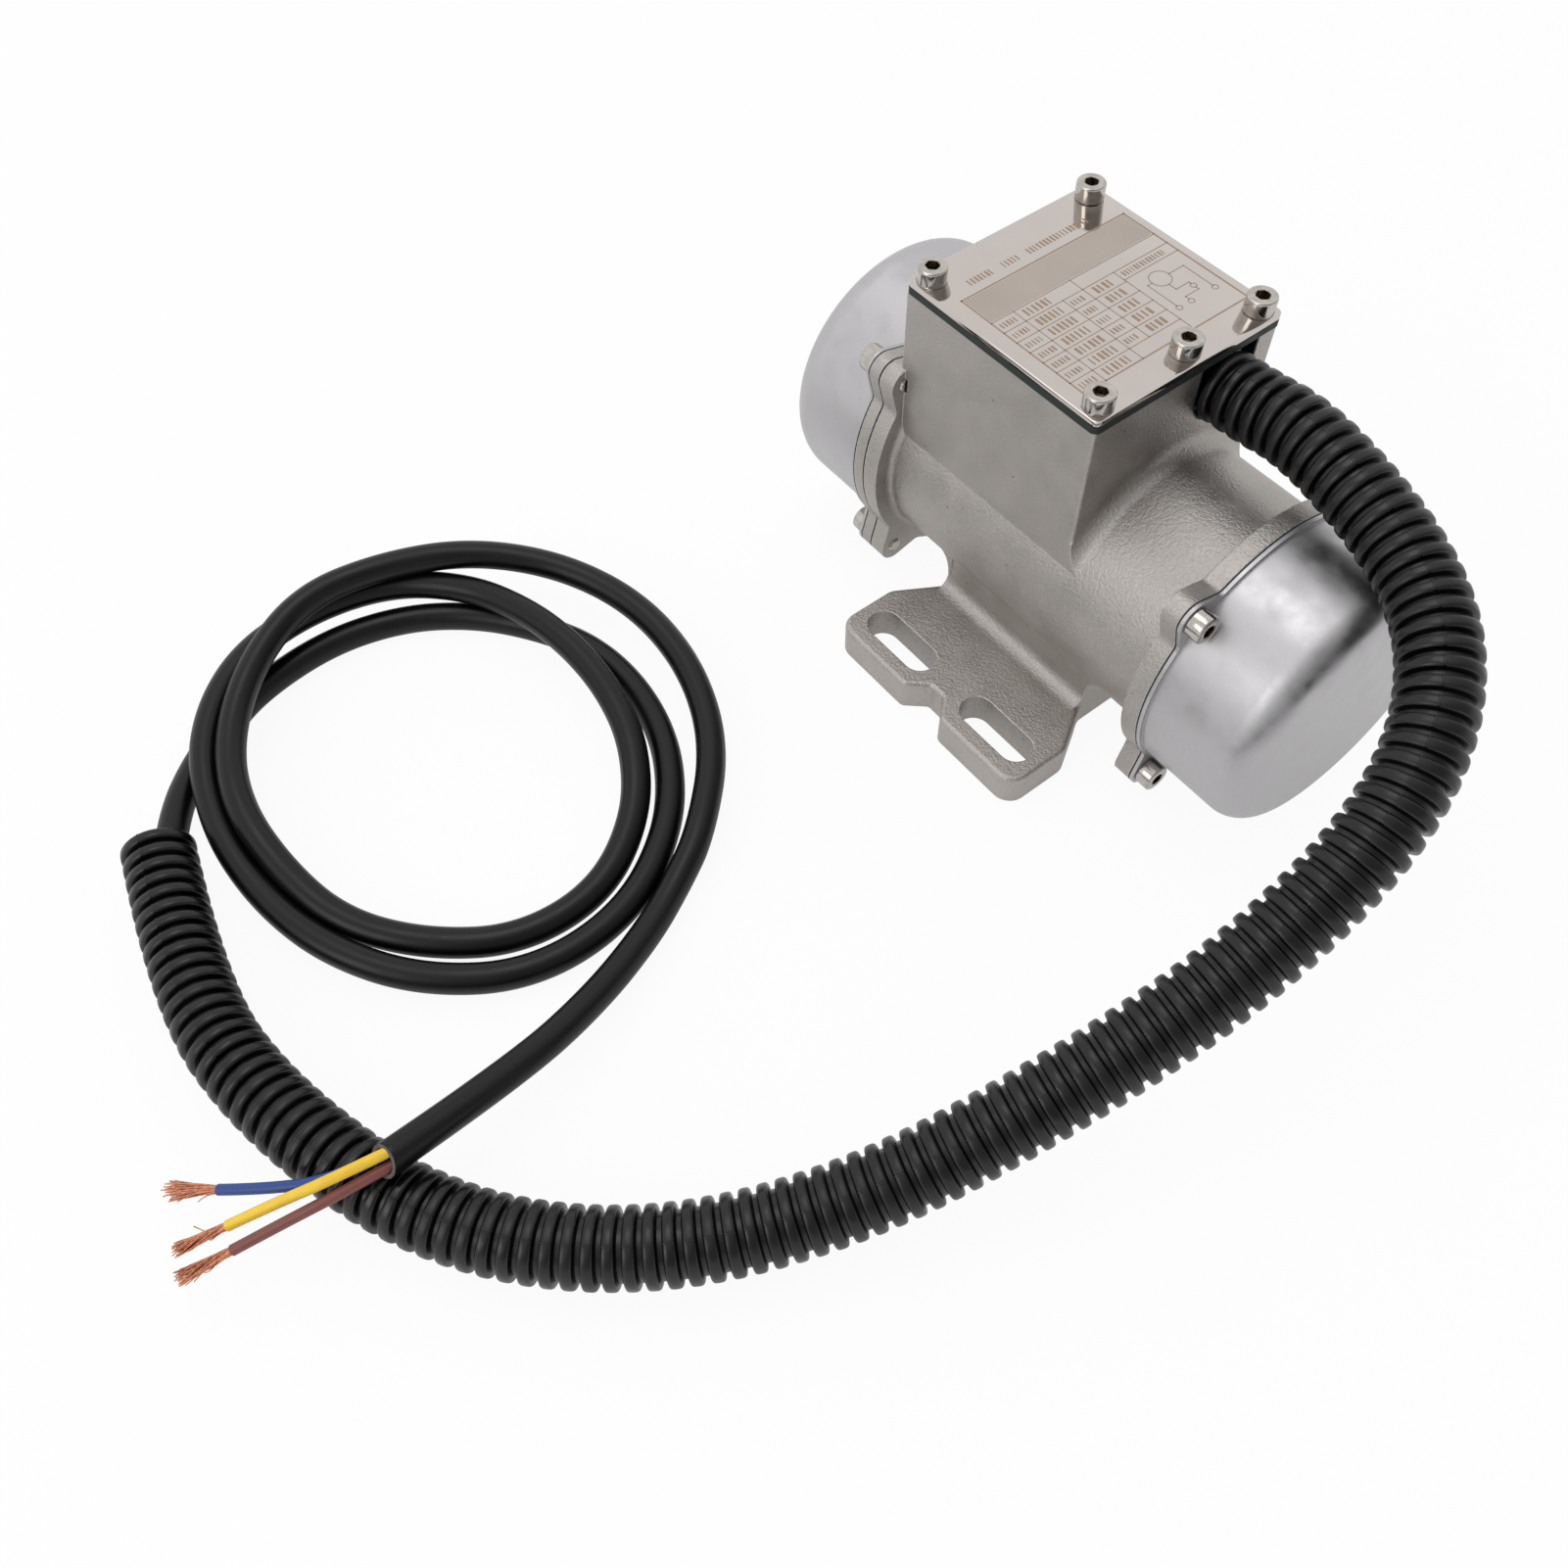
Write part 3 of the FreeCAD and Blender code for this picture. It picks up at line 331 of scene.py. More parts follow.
# %% Lead out the cores
core_r = 1.2
core_routes = {
    "blue": [(25.6, -218.3, 19.5), (23.4, -231.5, 19.6), (14.3, -243.6, 15.4), (7.1, -251.1, 12)],
    "yellow": [(26.6, -217.9, 22.4), (24.6, -231.4, 23), (18.5, -243.5, 15.8), (15, -253, 12)],
    "brown": [(28.3, -218.2, 19.9), (27, -231, 20.2), (23, -244, 15.5), (20.1, -254.4, 12)],
}
cores = {}
for colour, route in core_routes.items():
    cores[colour] = cord_line("core_line_" + colour, route, core_r)
    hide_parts("core_" + colour)
    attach(cores[colour], "motor_body")
    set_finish(cores[colour], "core_" + colour + "_pvc")
print("cores:", list(cores))

# %% [markdown]
# ## Copper strands
#
# Each core ends in a tuft of bare copper wires. They still lie together with a little of their twist near
# the insulation, and widen to a blunt brush at the cut, where a few stray wires stick out. The blue core's
# tuft is fanned most. Hair particles could fan out too, but they don't come along in an exported model, so
# the wires are thin curves wound round the core's own direction.

# %% Write the tuft function
wires = 44
wire_r = 0.13                 # a little thicker than the real wires, so that they show
wire_steps = 13
golden_turn = 2.39996         # radians from wire to wire, which fills a circle evenly
tuft_length = 13.0
shortest = 0.9                # share of the length that the shortest wire has
sunk = 0.8                    # how far the wires start inside the insulation
bundle_r = 0.8
stray_every = 11
stray_out = 2.2
stray_loss = 2.2              # a wire that sticks out by 1 mm ends this much earlier
waver, waves = 0.3, 4         # how far and how often a wire strays from its twist


def tuft(name, route, width, twist, seed):
    """Bare wires straight on from the end of a core, as one curve object."""
    chance = random.Random(seed)
    end = Vector(route[-1])
    way = (end - Vector(route[-2])).normalized()
    across = way.cross(Vector((0, 0, 1))).normalized()
    up = across.cross(way)
    data = bpy.data.curves.new(name, "CURVE")
    data.dimensions = "3D"
    data.bevel_depth = wire_r
    data.bevel_resolution = 2
    data.use_fill_caps = True
    for i in range(wires):
        part = math.sqrt((i + 0.5) / wires)
        stray = stray_out * chance.random() if i % stray_every == 0 else 0.0
        reach = tuft_length * chance.uniform(shortest, 1.0) - stray_loss * stray
        spline = data.splines.new("POLY")
        spline.points.add(wire_steps)
        for j, point in enumerate(spline.points):
            share = j / wire_steps
            angle = i * golden_turn + twist * share + waver * math.sin(waves * share + i)
            out = part * (bundle_r + (width - bundle_r) * share ** 1.5) + stray * share ** 3
            place = end + way * (share * (reach + sunk) - sunk)
            place += (across * math.cos(angle) + up * math.sin(angle)) * out
            point.co = (*(place * MM), 1)
            point.radius = MM
    piece = bpy.data.objects.new(name, data)
    bpy.context.collection.objects.link(piece)
    return piece


print("wires in a tuft:", wires)

# %% Fan out the copper
tuft_width = {"blue": 2.3, "yellow": 1.5, "brown": 1.8}
tuft_twist = {"blue": 0.8, "yellow": 2.6, "brown": 2.0}
first_seed = 3
for number, (colour, route) in enumerate(core_routes.items()):
    strands = tuft("copper_strands_" + colour, route, tuft_width[colour], tuft_twist[colour],
                   seed=number + first_seed)
    if number == 0:
        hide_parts("core_strands")
    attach(strands, "motor_body")
    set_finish(strands, "copper_strands")
    print(colour, "tuft:", len(strands.data.splines), "wires")

# %% [markdown]
# ## Socket-head screws
#
# The cover and both caps are held by M4 socket-head screws. A real head has a rounded shoulder, a small
# undercut that draws a dark line where it sits, and a broached hexagon socket. A head could be cut with a
# Boolean, but rings give the chamfers and the change from round to hexagon with clean faces. Each group of
# screws is one mesh, and its sockets are a second one, because they get a darker finish: painted shade
# inside the socket.

# %% Turn a screw
around = 48                   # points round a screw, a multiple of the socket's six flats
mouth = (3.98, 1.76)          # height and radius of the socket's chamfered mouth
screw_tip = [(0, 1.5), (0.4, 1.95)]      # height over the point and radius
screw_head = [(0, 1.95), (0, 3.3), (0.18, 3.5), (3.5, 3.5), (3.8, 3.42), (3.95, 3.24), (4.0, 3.05),
              (4.0, 1.8)]
socket_flats = [(3.92, 3.0), (1.9, 3.0), (1.5, 0.4)]      # height and width over the flats


def screw_rings(length):
    """Rings of one screw standing on z = 0, from its point up over the head to the mouth of its socket."""
    outside = [(height - length, radius) for height, radius in screw_tip] + screw_head + [mouth]
    angles = [2 * math.pi * i / around for i in range(around)]
    return [[Vector((radius * math.cos(angle), radius * math.sin(angle), z)) * MM for angle in angles]
            for z, radius in outside]


def socket_rings():
    """Rings of a hexagon socket, from the round mouth down to its bottom."""
    rings = screw_rings(1.0)[-1:]
    for z, flats in socket_flats:
        ring = []
        for i in range(around):
            angle = 2 * math.pi * i / around
            to_flat = (angle + math.pi / 6) % (math.pi / 3) - math.pi / 6
            radius = flats / 2 / math.cos(to_flat)
            ring.append(Vector((radius * math.cos(angle), radius * math.sin(angle), z)) * MM)
        rings.append(ring)
    return rings


print("screw head:", 2 * max(radius for _, radius in screw_head), "mm across,", screw_head[-1][0], "mm high")

# %% Write the functions that set screws
first_turn = 17               # degrees: every screw stopped at another angle when it was tightened
next_turn = 23


def group(name, rings, seats, out, closed):
    """One mesh of the same rings set on every seat, in millimetres, and facing out."""
    turn = Vector(out).to_track_quat("Z", "X").to_matrix()
    parts = []
    for number, seat in enumerate(seats):
        spin = Matrix.Rotation(math.radians(first_turn + next_turn * number), 3, "Z")
        placed = [[turn @ (spin @ point) + Vector(seat) * MM for point in ring] for ring in rings]
        parts.append(skin(name, placed, close_start=closed, close_end=not closed))
    with bpy.context.temp_override(active_object=parts[0], selected_editable_objects=parts, object=parts[0]):
        bpy.ops.object.join()
    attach(parts[0], "motor_body")
    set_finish(parts[0], "fastener_steel")
    return parts[0]


def screws(name, node, seats, out, length):
    """Finished screws in place of a node, and their sockets."""
    heads = group(name + "_screws_finished", screw_rings(length), seats, out, closed=True)
    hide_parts(node)
    return heads, group(name + "_screw_sockets", socket_rings(), seats, out, closed=False)


print("each screw is turned on by", next_turn, "degrees")

# %% Set the screws
axis_z = 38.0
ear_r = 39.1
ear_out = ear_r * math.sqrt(0.5)
ears = [(y * ear_out, axis_z + z * ear_out) for y in (-1, 1) for z in (-1, 1)]
cover_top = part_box("terminal_cover")[1][2] / MM
cover_seats = [(x, y, cover_top) for x in (-41.6, 10.7) for y in (-24.4, 24.4)] + [(10.2, 2.0, cover_top)]
front_seat = 49.9
rear_seat = -53.7
hardware = [
    screws("cover", "terminal_cover_screws", cover_seats, (0, 0, 1), 12.0),
    screws("front", "front_cap_screws", [(front_seat, y, z) for y, z in ears], (1, 0, 0), 6.3),
    screws("rear", "rear_cap_screws", [(rear_seat, y, z) for y, z in ears], (-1, 0, 0), 10.1),
]
print("cover top at", round(cover_top, 2), "mm; screw groups:", len(hardware))

# %% [markdown]
# ## Terminal cover
#
# The cover is a polished plate with its edges broken. A Bevel modifier on a box would round all its edges
# alike, while the real plate has round corners and only a narrow break at the top, so the plate is skinned
# through five outlines, each with its height and its inset.

# %% Make the cover plate
cover_corner_r = 1.8
corner_steps = 8


def rounded_outline(x0, x1, y0, y1, z, inset):
    """Points of a rectangle with rounded corners, inset by a distance on every side."""
    points = []
    for x, y, start in ((x1, y1, 0), (x0, y1, 90), (x0, y0, 180), (x1, y0, 270)):
        cx = x - math.copysign(cover_corner_r, x - (x0 + x1) / 2)
        cy = y - math.copysign(cover_corner_r, y - (y0 + y1) / 2)
        for i in range(corner_steps + 1):
            angle = math.radians(start + 90 * i / corner_steps)
            points.append(Vector((cx + (cover_corner_r - inset) * math.cos(angle),
                                  cy + (cover_corner_r - inset) * math.sin(angle), z)) * MM)
    return points


low, high = [[value / MM for value in corner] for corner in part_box("terminal_cover")]
plate_outlines = [             # height and inset
    (low[2], 0.25), (low[2] + 0.2, 0.0), (high[2] - 0.32, 0.0), (high[2] - 0.1, 0.09), (high[2], 0.34)]
cover = skin("cover_polished", [rounded_outline(low[0], high[0], low[1], high[1], z, inset)
                                for z, inset in plate_outlines], close_start=True, close_end=True)
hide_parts("terminal_cover")
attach(cover, "motor_body")
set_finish(cover, "polished_steel")
print("cover:", round(high[0] - low[0], 1), "by", round(high[1] - low[1], 1), "mm")

# %% [markdown]
# ## Marks on the cover
#
# A laser has browned a data table into the plate: a frame with a bare header band, cells, and a connection
# diagram. Here the table is generic, and rows of plain ticks stand where writing would be. The marks could
# be drawn by shader nodes, but straight lines and cells are simpler as thin flat faces just above the plate,
# and they get a finish of their own.

# %% Write the functions for marks
line_width = 0.24
ring_sides = 24
thinnest, thickest = 0.3, 0.62           # width of a tick as a share of the pitch


def bar(x0, x1, y0, y1):
    """Corners of one flat rectangle."""
    return [(x0, y0), (x1, y0), (x1, y1), (x0, y1)]


def ruled(x0, y0, x1, y1, width=line_width):
    """One straight line of the table, along X or Y."""
    half = width / 2
    return bar(min(x0, x1) - half, max(x0, x1) + half, min(y0, y1) - half, max(y0, y1) + half)


def drawn_ring(x, y, radius):
    """Circle of the diagram, as short straight marks."""
    quads = []
    for i in range(ring_sides):
        quad = []
        for r, k in ((radius, i), (radius + line_width, i), (radius + line_width, i + 1), (radius, i + 1)):
            angle = math.radians(360 / ring_sides * k)
            quad.append((x + r * math.cos(angle), y + r * math.sin(angle)))
        quads.append(quad)
    return quads


def ticks(row, edges, y0, y1, pitch, chance):
    """Plain upright ticks of uneven width across a row, in place of writing."""
    starts = [y0 + pitch * i for i in range(int((y1 - y0) / pitch))]
    return [bar(row + edges[0], row + edges[1], start, start + pitch * chance.uniform(thinnest, thickest))
            for start in starts]


print("lines are", line_width, "mm wide")

# %% Rule the table and its diagram
frame_width = 0.4
table = {"x0": -32.0, "x1": 6.2, "y0": -24.0, "y1": 26.0}
row_start, row_height = -22.3, 4.07
rows = [row_start + row_height * i for i in range(8)]
columns = [-17.5, -6.5, -0.5, 9.0]
diagram_x = -14.8
marks = [ruled(x, table["y0"], x, table["y1"], frame_width) for x in (table["x0"], table["x1"])]
marks += [ruled(table["x0"], y, table["x1"], y, frame_width) for y in (table["y0"], table["y1"])]
marks += [ruled(x, table["y0"], x, table["y1"] if i < 2 else columns[3]) for i, x in enumerate(rows[:-1])]
marks += [ruled(rows[first], y, rows[last], y) for y, first, last in zip(columns, (0, 1, 0, 1), (7, 7, 6, 7))]
marks.append(ruled(diagram_x, columns[3], diagram_x, table["y1"]))
print("table:", len(rows) - 1, "rows of", row_height, "mm,", len(marks), "lines")

# %% Fill the rows with ticks
small, large = (1.2, 2.9), (0.8, 3.2)    # lower and upper edge of a tick within its row
chance = random.Random(11)
for row in rows[:-1]:
    marks += ticks(row, small, table["y0"] + 1.0, columns[0] - 0.6, 0.95, chance)
    marks += ticks(row, large, columns[0] + 1.6, columns[1] - 1.4, 1.3, chance)
for row in rows[1:6]:
    marks += ticks(row, small, columns[1] + 0.8, columns[2] - 0.6, 0.95, chance)
    marks += ticks(row, large, columns[2] + 1.8, columns[3] - 2.0, 1.4, chance)
marks += ticks(rows[1], (0.9, 2.6), columns[3] + 1.2, table["y1"] - 2.0, 0.95, chance)
for y0, y1 in ((-18.7, -10.5), (-8.5, -2.6), (-0.8, 18.3)):
    marks += ticks(0.0, (-36.6, -34.6), y0, y1, 1.05, chance)
print("lines and ticks:", len(marks))

# %% Draw the diagram and lay the marks on the cover
diagram_rings = [              # middle and radius
    (-10.2, 15.6, 2.5), (-4.0, 19.6, 0.6), (-0.6, 22.9, 0.6), (-0.6, 15.4, 0.6), (-0.6, 11.6, 0.6)]
diagram_lines = [
    ((-10.2, 18.2), (-10.2, 22.9), (-1.3, 22.9)),
    ((-7.6, 15.6), (-5.4, 15.6), (-5.4, 19.6), (-4.7, 19.6)),
    ((-3.3, 19.6), (-2.4, 19.6), (-2.4, 15.4), (-1.3, 15.4)),
    ((-10.2, 13.0), (-10.2, 11.6), (-1.3, 11.6)),
]
mark_gap = 0.012              # millimetres between the plate and a mark
for x, y, radius in diagram_rings:
    marks += drawn_ring(x, y, radius)
for corners in diagram_lines:
    marks += [ruled(*start, *end) for start, end in zip(corners, corners[1:])]


def flat_marks(name, quads):
    """Thin flat marks on the cover: one mesh of quads, each of four corners x, y in millimetres."""
    points = [Vector((x, y, cover_top + mark_gap)) * MM for quad in quads for x, y in quad]
    faces = [(4 * i, 4 * i + 1, 4 * i + 2, 4 * i + 3) for i in range(len(quads))]
    mesh = bpy.data.meshes.new(name)
    mesh.from_pydata(points, [], faces)
    piece = bpy.data.objects.new(name, mesh)
    bpy.context.collection.objects.link(piece)
    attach(piece, "motor_body")
    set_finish(piece, "polished_steel")
    return piece


marking = flat_marks("cover_marking", marks)
header = bar(table["x0"] + frame_width, rows[0] - frame_width,
             table["y0"] + frame_width, table["y1"] - frame_width)
band = flat_marks("cover_header_band", [header])
print("marks:", len(marks))

# %% [markdown]
# ## Finishes
#
# Image textures would need unwrapping and files, so every finish is procedural: noise at the real size in
# millimetres drives tone, roughness and height. Colours are written as sRGB, as on a colour chart, and
# turned to the linear light that the shader works in. One function adds any node, and a second one builds a
# surface with fine grain, broad clouds, softly rounded edges and, on metal, a paler broken line along an
# edge: partly wear, and partly a painted highlight where the edge catches the light. Polished, moulded and
# extruded skins have a grain of a few hundredths of a millimetre. That is too fine to show, so theirs is
# drawn at 0.15 to 0.5 mm, as coarse as it has to be.

# %% Write the colour and node functions
def linear(hex_colour):
    """Linear RGBA of an sRGB colour such as 8f8b86."""
    channels = [int(hex_colour[i:i + 2], 16) / 255 for i in (0, 2, 4)]
    return [c / 12.92 if c <= 0.04045 else ((c + 0.055) / 1.055) ** 2.4 for c in channels] + [1.0]


def node(tree, kind, inputs=(), **settings):
    """Add one shader node with its settings. Its inputs come by name or in order, as a number, a colour, a
    socket to link, or a node whose first output is linked."""
    made = tree.nodes.new("ShaderNode" + kind)
    for key, value in settings.items():
        setattr(made, key, value)
    for socket, value in inputs.items() if isinstance(inputs, dict) else enumerate(inputs):
        if isinstance(value, bpy.types.Node):
            value = value.outputs[0]
        if isinstance(value, bpy.types.NodeSocket):
            tree.links.new(value, made.inputs[socket])
        else:
            made.inputs[socket].default_value = value
    return made


print("colour helper:", [round(c, 3) for c in linear("b4aeaa")[:3]])

# %% Write the surface function
noise_span = (0.35, 0.65)     # most of Blender's noise lies between these values
edge_span = (0.8, 0.99)       # how alike the rounded and the flat normal are, from an edge to a flat
patch_span = (0.4, 0.55)      # the fine noise that breaks the pale edge line up
patch_least = 0.3
# Pale colour along edges: partly wear, partly a painted highlight where an edge catches the light.
edge_wear_and_highlight = linear("f4f2ee")


def surface(name, colour, rough, metallic=0.0, grain=0.5, depth=0.02, mottle=7.0, tone=0.08, uneven=0.06,
            edge_mm=0.0, wear_and_highlight=0.0, stretch=(1, 1, 1), gloss=0.5, speckle=0.0):
    """Principled surface; grain, depth, mottle and edge_mm are in millimetres.

    grain and depth are the size and height of the fine texture, and speckle is what it does to the tone.
    mottle is the size of the broad clouds, and tone and uneven are what they do to tone and roughness.
    Map Range takes a value, the range that it comes from and the range that it goes to.
    """
    material = bpy.data.materials.new(name)
    material.use_nodes = True
    tree = material.node_tree
    shader = tree.nodes["Principled BSDF"]
    place = node(tree, "TexCoord").outputs["Object"]
    drawn = node(tree, "VectorMath", (place, stretch), operation="MULTIPLY")
    fine = node(tree, "TexNoise", {"Vector": drawn, "Scale": 1000 / grain, "Detail": 3.0})
    broad = node(tree, "TexNoise", {"Vector": place, "Scale": 1000 / mottle, "Detail": 4.0})
    clouds = node(tree, "MapRange", (broad, *noise_span, 1 - tone, 1 + tone))
    specks = node(tree, "MapRange", (fine, *noise_span, 1 - speckle, 1 + speckle))
    value = node(tree, "Math", (clouds, specks), operation="MULTIPLY")
    shade = node(tree, "HueSaturation", {"Color": linear(colour), "Value": value})
    bump = {"Height": fine, "Distance": depth * MM}
    if edge_mm:
        rounded = node(tree, "Bevel", {"Radius": edge_mm * MM}, samples=6)
        flat = node(tree, "NewGeometry").outputs["Normal"]
        match = node(tree, "VectorMath", (rounded, flat), operation="DOT_PRODUCT").outputs["Value"]
        # A paler broken line along an edge: partly wear, partly a painted highlight.
        pale_edge = node(tree, "MapRange", (match, *edge_span, wear_and_highlight, 0.0))
        patchy = node(tree, "MapRange", (fine, *patch_span, patch_least, 1.0))
        broken_pale_edge = node(tree, "Math", (pale_edge, patchy), operation="MULTIPLY")
        shade = node(tree, "MixRGB", {"Fac": broken_pale_edge, "Color1": shade, "Color2": edge_wear_and_highlight})
        bump["Normal"] = rounded
    roughness = node(tree, "MapRange", (broad, *noise_span, rough - uneven, rough + uneven))
    relief = node(tree, "Bump", bump)
    for made, socket in ((shade, "Base Color"), (roughness, "Roughness"), (relief, "Normal")):
        tree.links.new(made.outputs[0], shader.inputs[socket])
    shader.inputs["Metallic"].default_value = metallic
    shader.inputs["Specular IOR Level"].default_value = gloss
    return material


print("noise stretched from", noise_span)

# %% [markdown]
# ## Blasted casting
#
# The housing is a stainless investment casting, blasted to an even satin. Beside the fine grain it keeps the
# soft orange peel of the wax, a little under a millimetre across, and a few pinholes about half a millimetre
# across. Real pits could be modelled, but there are hundreds, so both are added on top of the plain surface:
# the peel as a second bump, and the pinholes as painted shade, dark dots where a sparse cell pattern comes
# close to the middle of a cell.

# %% Blast the casting
def add_peel(material, size, depth):
    """Second, broader bump over the grain, with its size and height in millimetres."""
    tree = material.node_tree
    shader = tree.nodes["Principled BSDF"]
    grained = shader.inputs["Normal"].links[0].from_socket
    place = node(tree, "TexCoord").outputs["Object"]
    peel = node(tree, "TexNoise", {"Vector": place, "Scale": 1000 / size, "Detail": 1.5})
    bump = node(tree, "Bump", {"Height": peel, "Distance": depth * MM, "Normal": grained})
    tree.links.new(bump.outputs[0], shader.inputs["Normal"])


def add_pinhole_shade(material, spacing, radius, colour):
    """Painted shade of pits: dark dots of a radius, one per cell of a sparse cell pattern, in millimetres."""
    tree = material.node_tree
    shader = tree.nodes["Principled BSDF"]
    shade = shader.inputs["Base Color"].links[0].from_socket
    place = node(tree, "TexCoord").outputs["Object"]
    cells = node(tree, "TexVoronoi", {"Vector": place, "Scale": 1000 / spacing})
    fade_from, darkest = 0.6, 0.8      # share of the radius where a dot starts to fade, and its strength
    dot = node(tree, "MapRange", (cells, fade_from * radius / spacing, radius / spacing, darkest, 0.0))
    pinhole_shade = node(tree, "MixRGB", {"Fac": dot, "Color1": shade, "Color2": linear(colour)})
    tree.links.new(pinhole_shade.outputs[0], shader.inputs["Base Color"])


# Stainless steel, investment cast and blasted: a warm grey satin with broad soft lights, and paler edges
# from wear and a painted highlight.
# Blasting leaves pits of about 0.1 mm, too fine to show, so the grain is drawn at 0.4 mm.
casting = surface("blasted_stainless_casting", "b5b0ac", 0.5, 1.0, grain=0.4, depth=0.06, mottle=9, tone=0.06,
                  uneven=0.06, edge_mm=0.45, wear_and_highlight=0.9, speckle=0.07)
add_peel(casting, size=0.8, depth=0.15)
# Pinholes as painted shade: dark dots that stand in for the depth of the pits.
add_pinhole_shade(casting, spacing=6.5, radius=0.28, colour="3a3633")
finishes = {"cast_steel": casting}
print("casting nodes:", len(casting.node_tree.nodes))

# %% [markdown]
# ## Drawn caps, polished cover and screws
#
# The caps are pressed from sheet and left satin, with cloudy marks from the press. The cover is polished
# until it mirrors the screws, and the screws are brighter and less even. All are stainless steel, so what
# tells them apart is roughness: it could be painted by hand, but the same noise with other sizes is enough.

# %% Finish the caps, the cover and the screws
# Stainless sheet, deep-drawn and left satin: cooler and smoother than the casting, with long blurred lights.
# The press leaves clouds about 6 mm wide, and a last soft waviness of 7 mm bends the lights.
finishes["drawn_steel"] = surface("satin_drawn_stainless", "bfbdbf", 0.44, 1.0, grain=0.35, depth=0.004,
                                  mottle=6, tone=0.05, uneven=0.09, edge_mm=0.2, wear_and_highlight=0.3, speckle=0.03)
add_peel(finishes["drawn_steel"], size=7.0, depth=0.015)
# Stainless plate, mechanically polished: a slightly warm mirror, blurred a little by the finest scratches.
finishes["polished_steel"] = surface("polished_stainless_plate", "c9c1bc", 0.07, 1.0, grain=0.5, depth=0.0004,
                                     mottle=12, tone=0.02, uneven=0.02)
# Stainless screws, cold-headed and tumbled: bright, with small darker patches of handling.
finishes["fastener_steel"] = surface("tumbled_stainless_screws", "bbb6b0", 0.14, 1.0, grain=0.4, depth=0.001,
                                     mottle=1.5, tone=0.12, uneven=0.05)
# The same steel inside the sockets, as painted shade: dark and brownish, so that the sockets read as dark
# holes.
socket_painted_shade = surface("stainless_sockets_painted_shade", "857a6c", 0.25, 1.0, grain=0.2, depth=0.003, mottle=0.8,
                      tone=0.3)
# Laser-browned stainless steel: a dull brown oxide that stays partly metallic.
browning = surface("laser_browned_stainless", "a48c78", 0.5, 0.7, grain=0.25, depth=0.002, mottle=1.2,
                   tone=0.1)
# The header band, matted by the same laser at low power: a blurred, slightly darker mirror.
matting = surface("laser_matted_stainless", "b5aaa1", 0.3, 1.0, grain=0.3, depth=0.0001, mottle=14, tone=0.04)
print("finishes so far:", len(finishes) + 3)

# %% [markdown]
# ## Metals inside the motor
#
# Closed caps hide these pieces, but a section or an exploded view shows them. Turned, ground and sawn metal
# all carry fine lines. A brushed look can come from anisotropy, but its direction would need tangents, so the
# grain is stretched instead: a larger number along an axis packs the lines closer along it.

# %% Finish the inner metals
# Hardened steel, ground: bright, with grinding lines of 0.04 mm round the shaft.
finishes["bright_steel"] = surface("ground_steel", "c4c4c4", 0.25, 1.0, grain=0.3, depth=0.002,
                                   stretch=(8, 1, 1), edge_mm=0.2, wear_and_highlight=0.3)
# Mild steel, sawn and left raw: dark grey and dull, with upright saw lines of 0.07 mm.
finishes["weight_steel"] = surface("sawn_mild_steel", "7d7b78", 0.5, 1.0, grain=0.4, depth=0.02,
                                   stretch=(1, 6, 1), mottle=4, tone=0.12, edge_mm=0.3, wear_and_highlight=0.4)
# Electrical steel, stamped and stacked: dark, with lines across the axis, closer than the 0.5 mm sheets.
finishes["laminations"] = surface("stacked_electrical_steel", "5a5a5c", 0.45, 1.0, grain=0.5, depth=0.03,
                                  stretch=(6, 0.2, 0.2))
# Copper wire, enamelled: a glossy red-brown whose wires, 0.3 mm apart, run along the motor.
finishes["copper_winding"] = surface("enamelled_copper_wire", "8a4a22", 0.3, 1.0, grain=0.6, depth=0.1,
                                     stretch=(0.3, 2, 2), tone=0.15)
# Aluminium, die-cast: a pale, slightly soft grey, with edges paled by wear and a painted highlight.
finishes["cage_aluminium"] = surface("die_cast_aluminium", "c9c9cb", 0.45, 1.0, grain=0.5, depth=0.02,
                                     edge_mm=0.2, wear_and_highlight=0.2)
# Brass, turned: a warm yellow with sharp, clean lights.
finishes["earth_brass"] = surface("turned_brass", "c59a4a", 0.3, 1.0, grain=0.3, depth=0.003, edge_mm=0.15,
                                  wear_and_highlight=0.2)
print("finishes so far:", len(finishes) + 3)

# %% [markdown]
# ## Rubber, nylon, PVC and copper
#
# The cords are nearly black, and only their lights tell nylon from rubber: the conduit has a narrow brighter
# line on each rib, the cable one long dull line. Both could be a plain black, but broad clouds in roughness
# break those lines up as handling does. The cores have plain strong colours, so that an electrician can tell
# them apart, and the copper is bare.

# %% Finish the gaskets, the conduit and the cable
# Rubber sheet, rolled and cut: nearly black with a green cast, and dull.
finishes["gasket_rubber"] = surface("rolled_rubber_sheet", "16211f", 0.6, grain=0.3, depth=0.02, mottle=3,
                                    tone=0.2)
# Black nylon, blow-moulded: smooth skin with a narrow light along every rib.
finishes["conduit_plastic"] = surface("blow_moulded_black_nylon", "070709", 0.32, grain=0.4, depth=0.008,
                                      mottle=9, tone=0.3, uneven=0.07, gloss=0.45)
# Black rubber, extruded: the same black with a duller, softer light along the cable.
finishes["cable_rubber"] = surface("extruded_black_rubber", "060608", 0.36, grain=0.5, depth=0.01, mottle=14,
                                   tone=0.2, uneven=0.06, gloss=0.34)
# Rubber, cut with a knife: paler and duller than the extruded skin.
cut_rubber = surface("knife_cut_rubber", "5c5450", 0.7, grain=0.3, depth=0.02, mottle=2, tone=0.15)
print("finishes so far:", len(finishes) + 4)

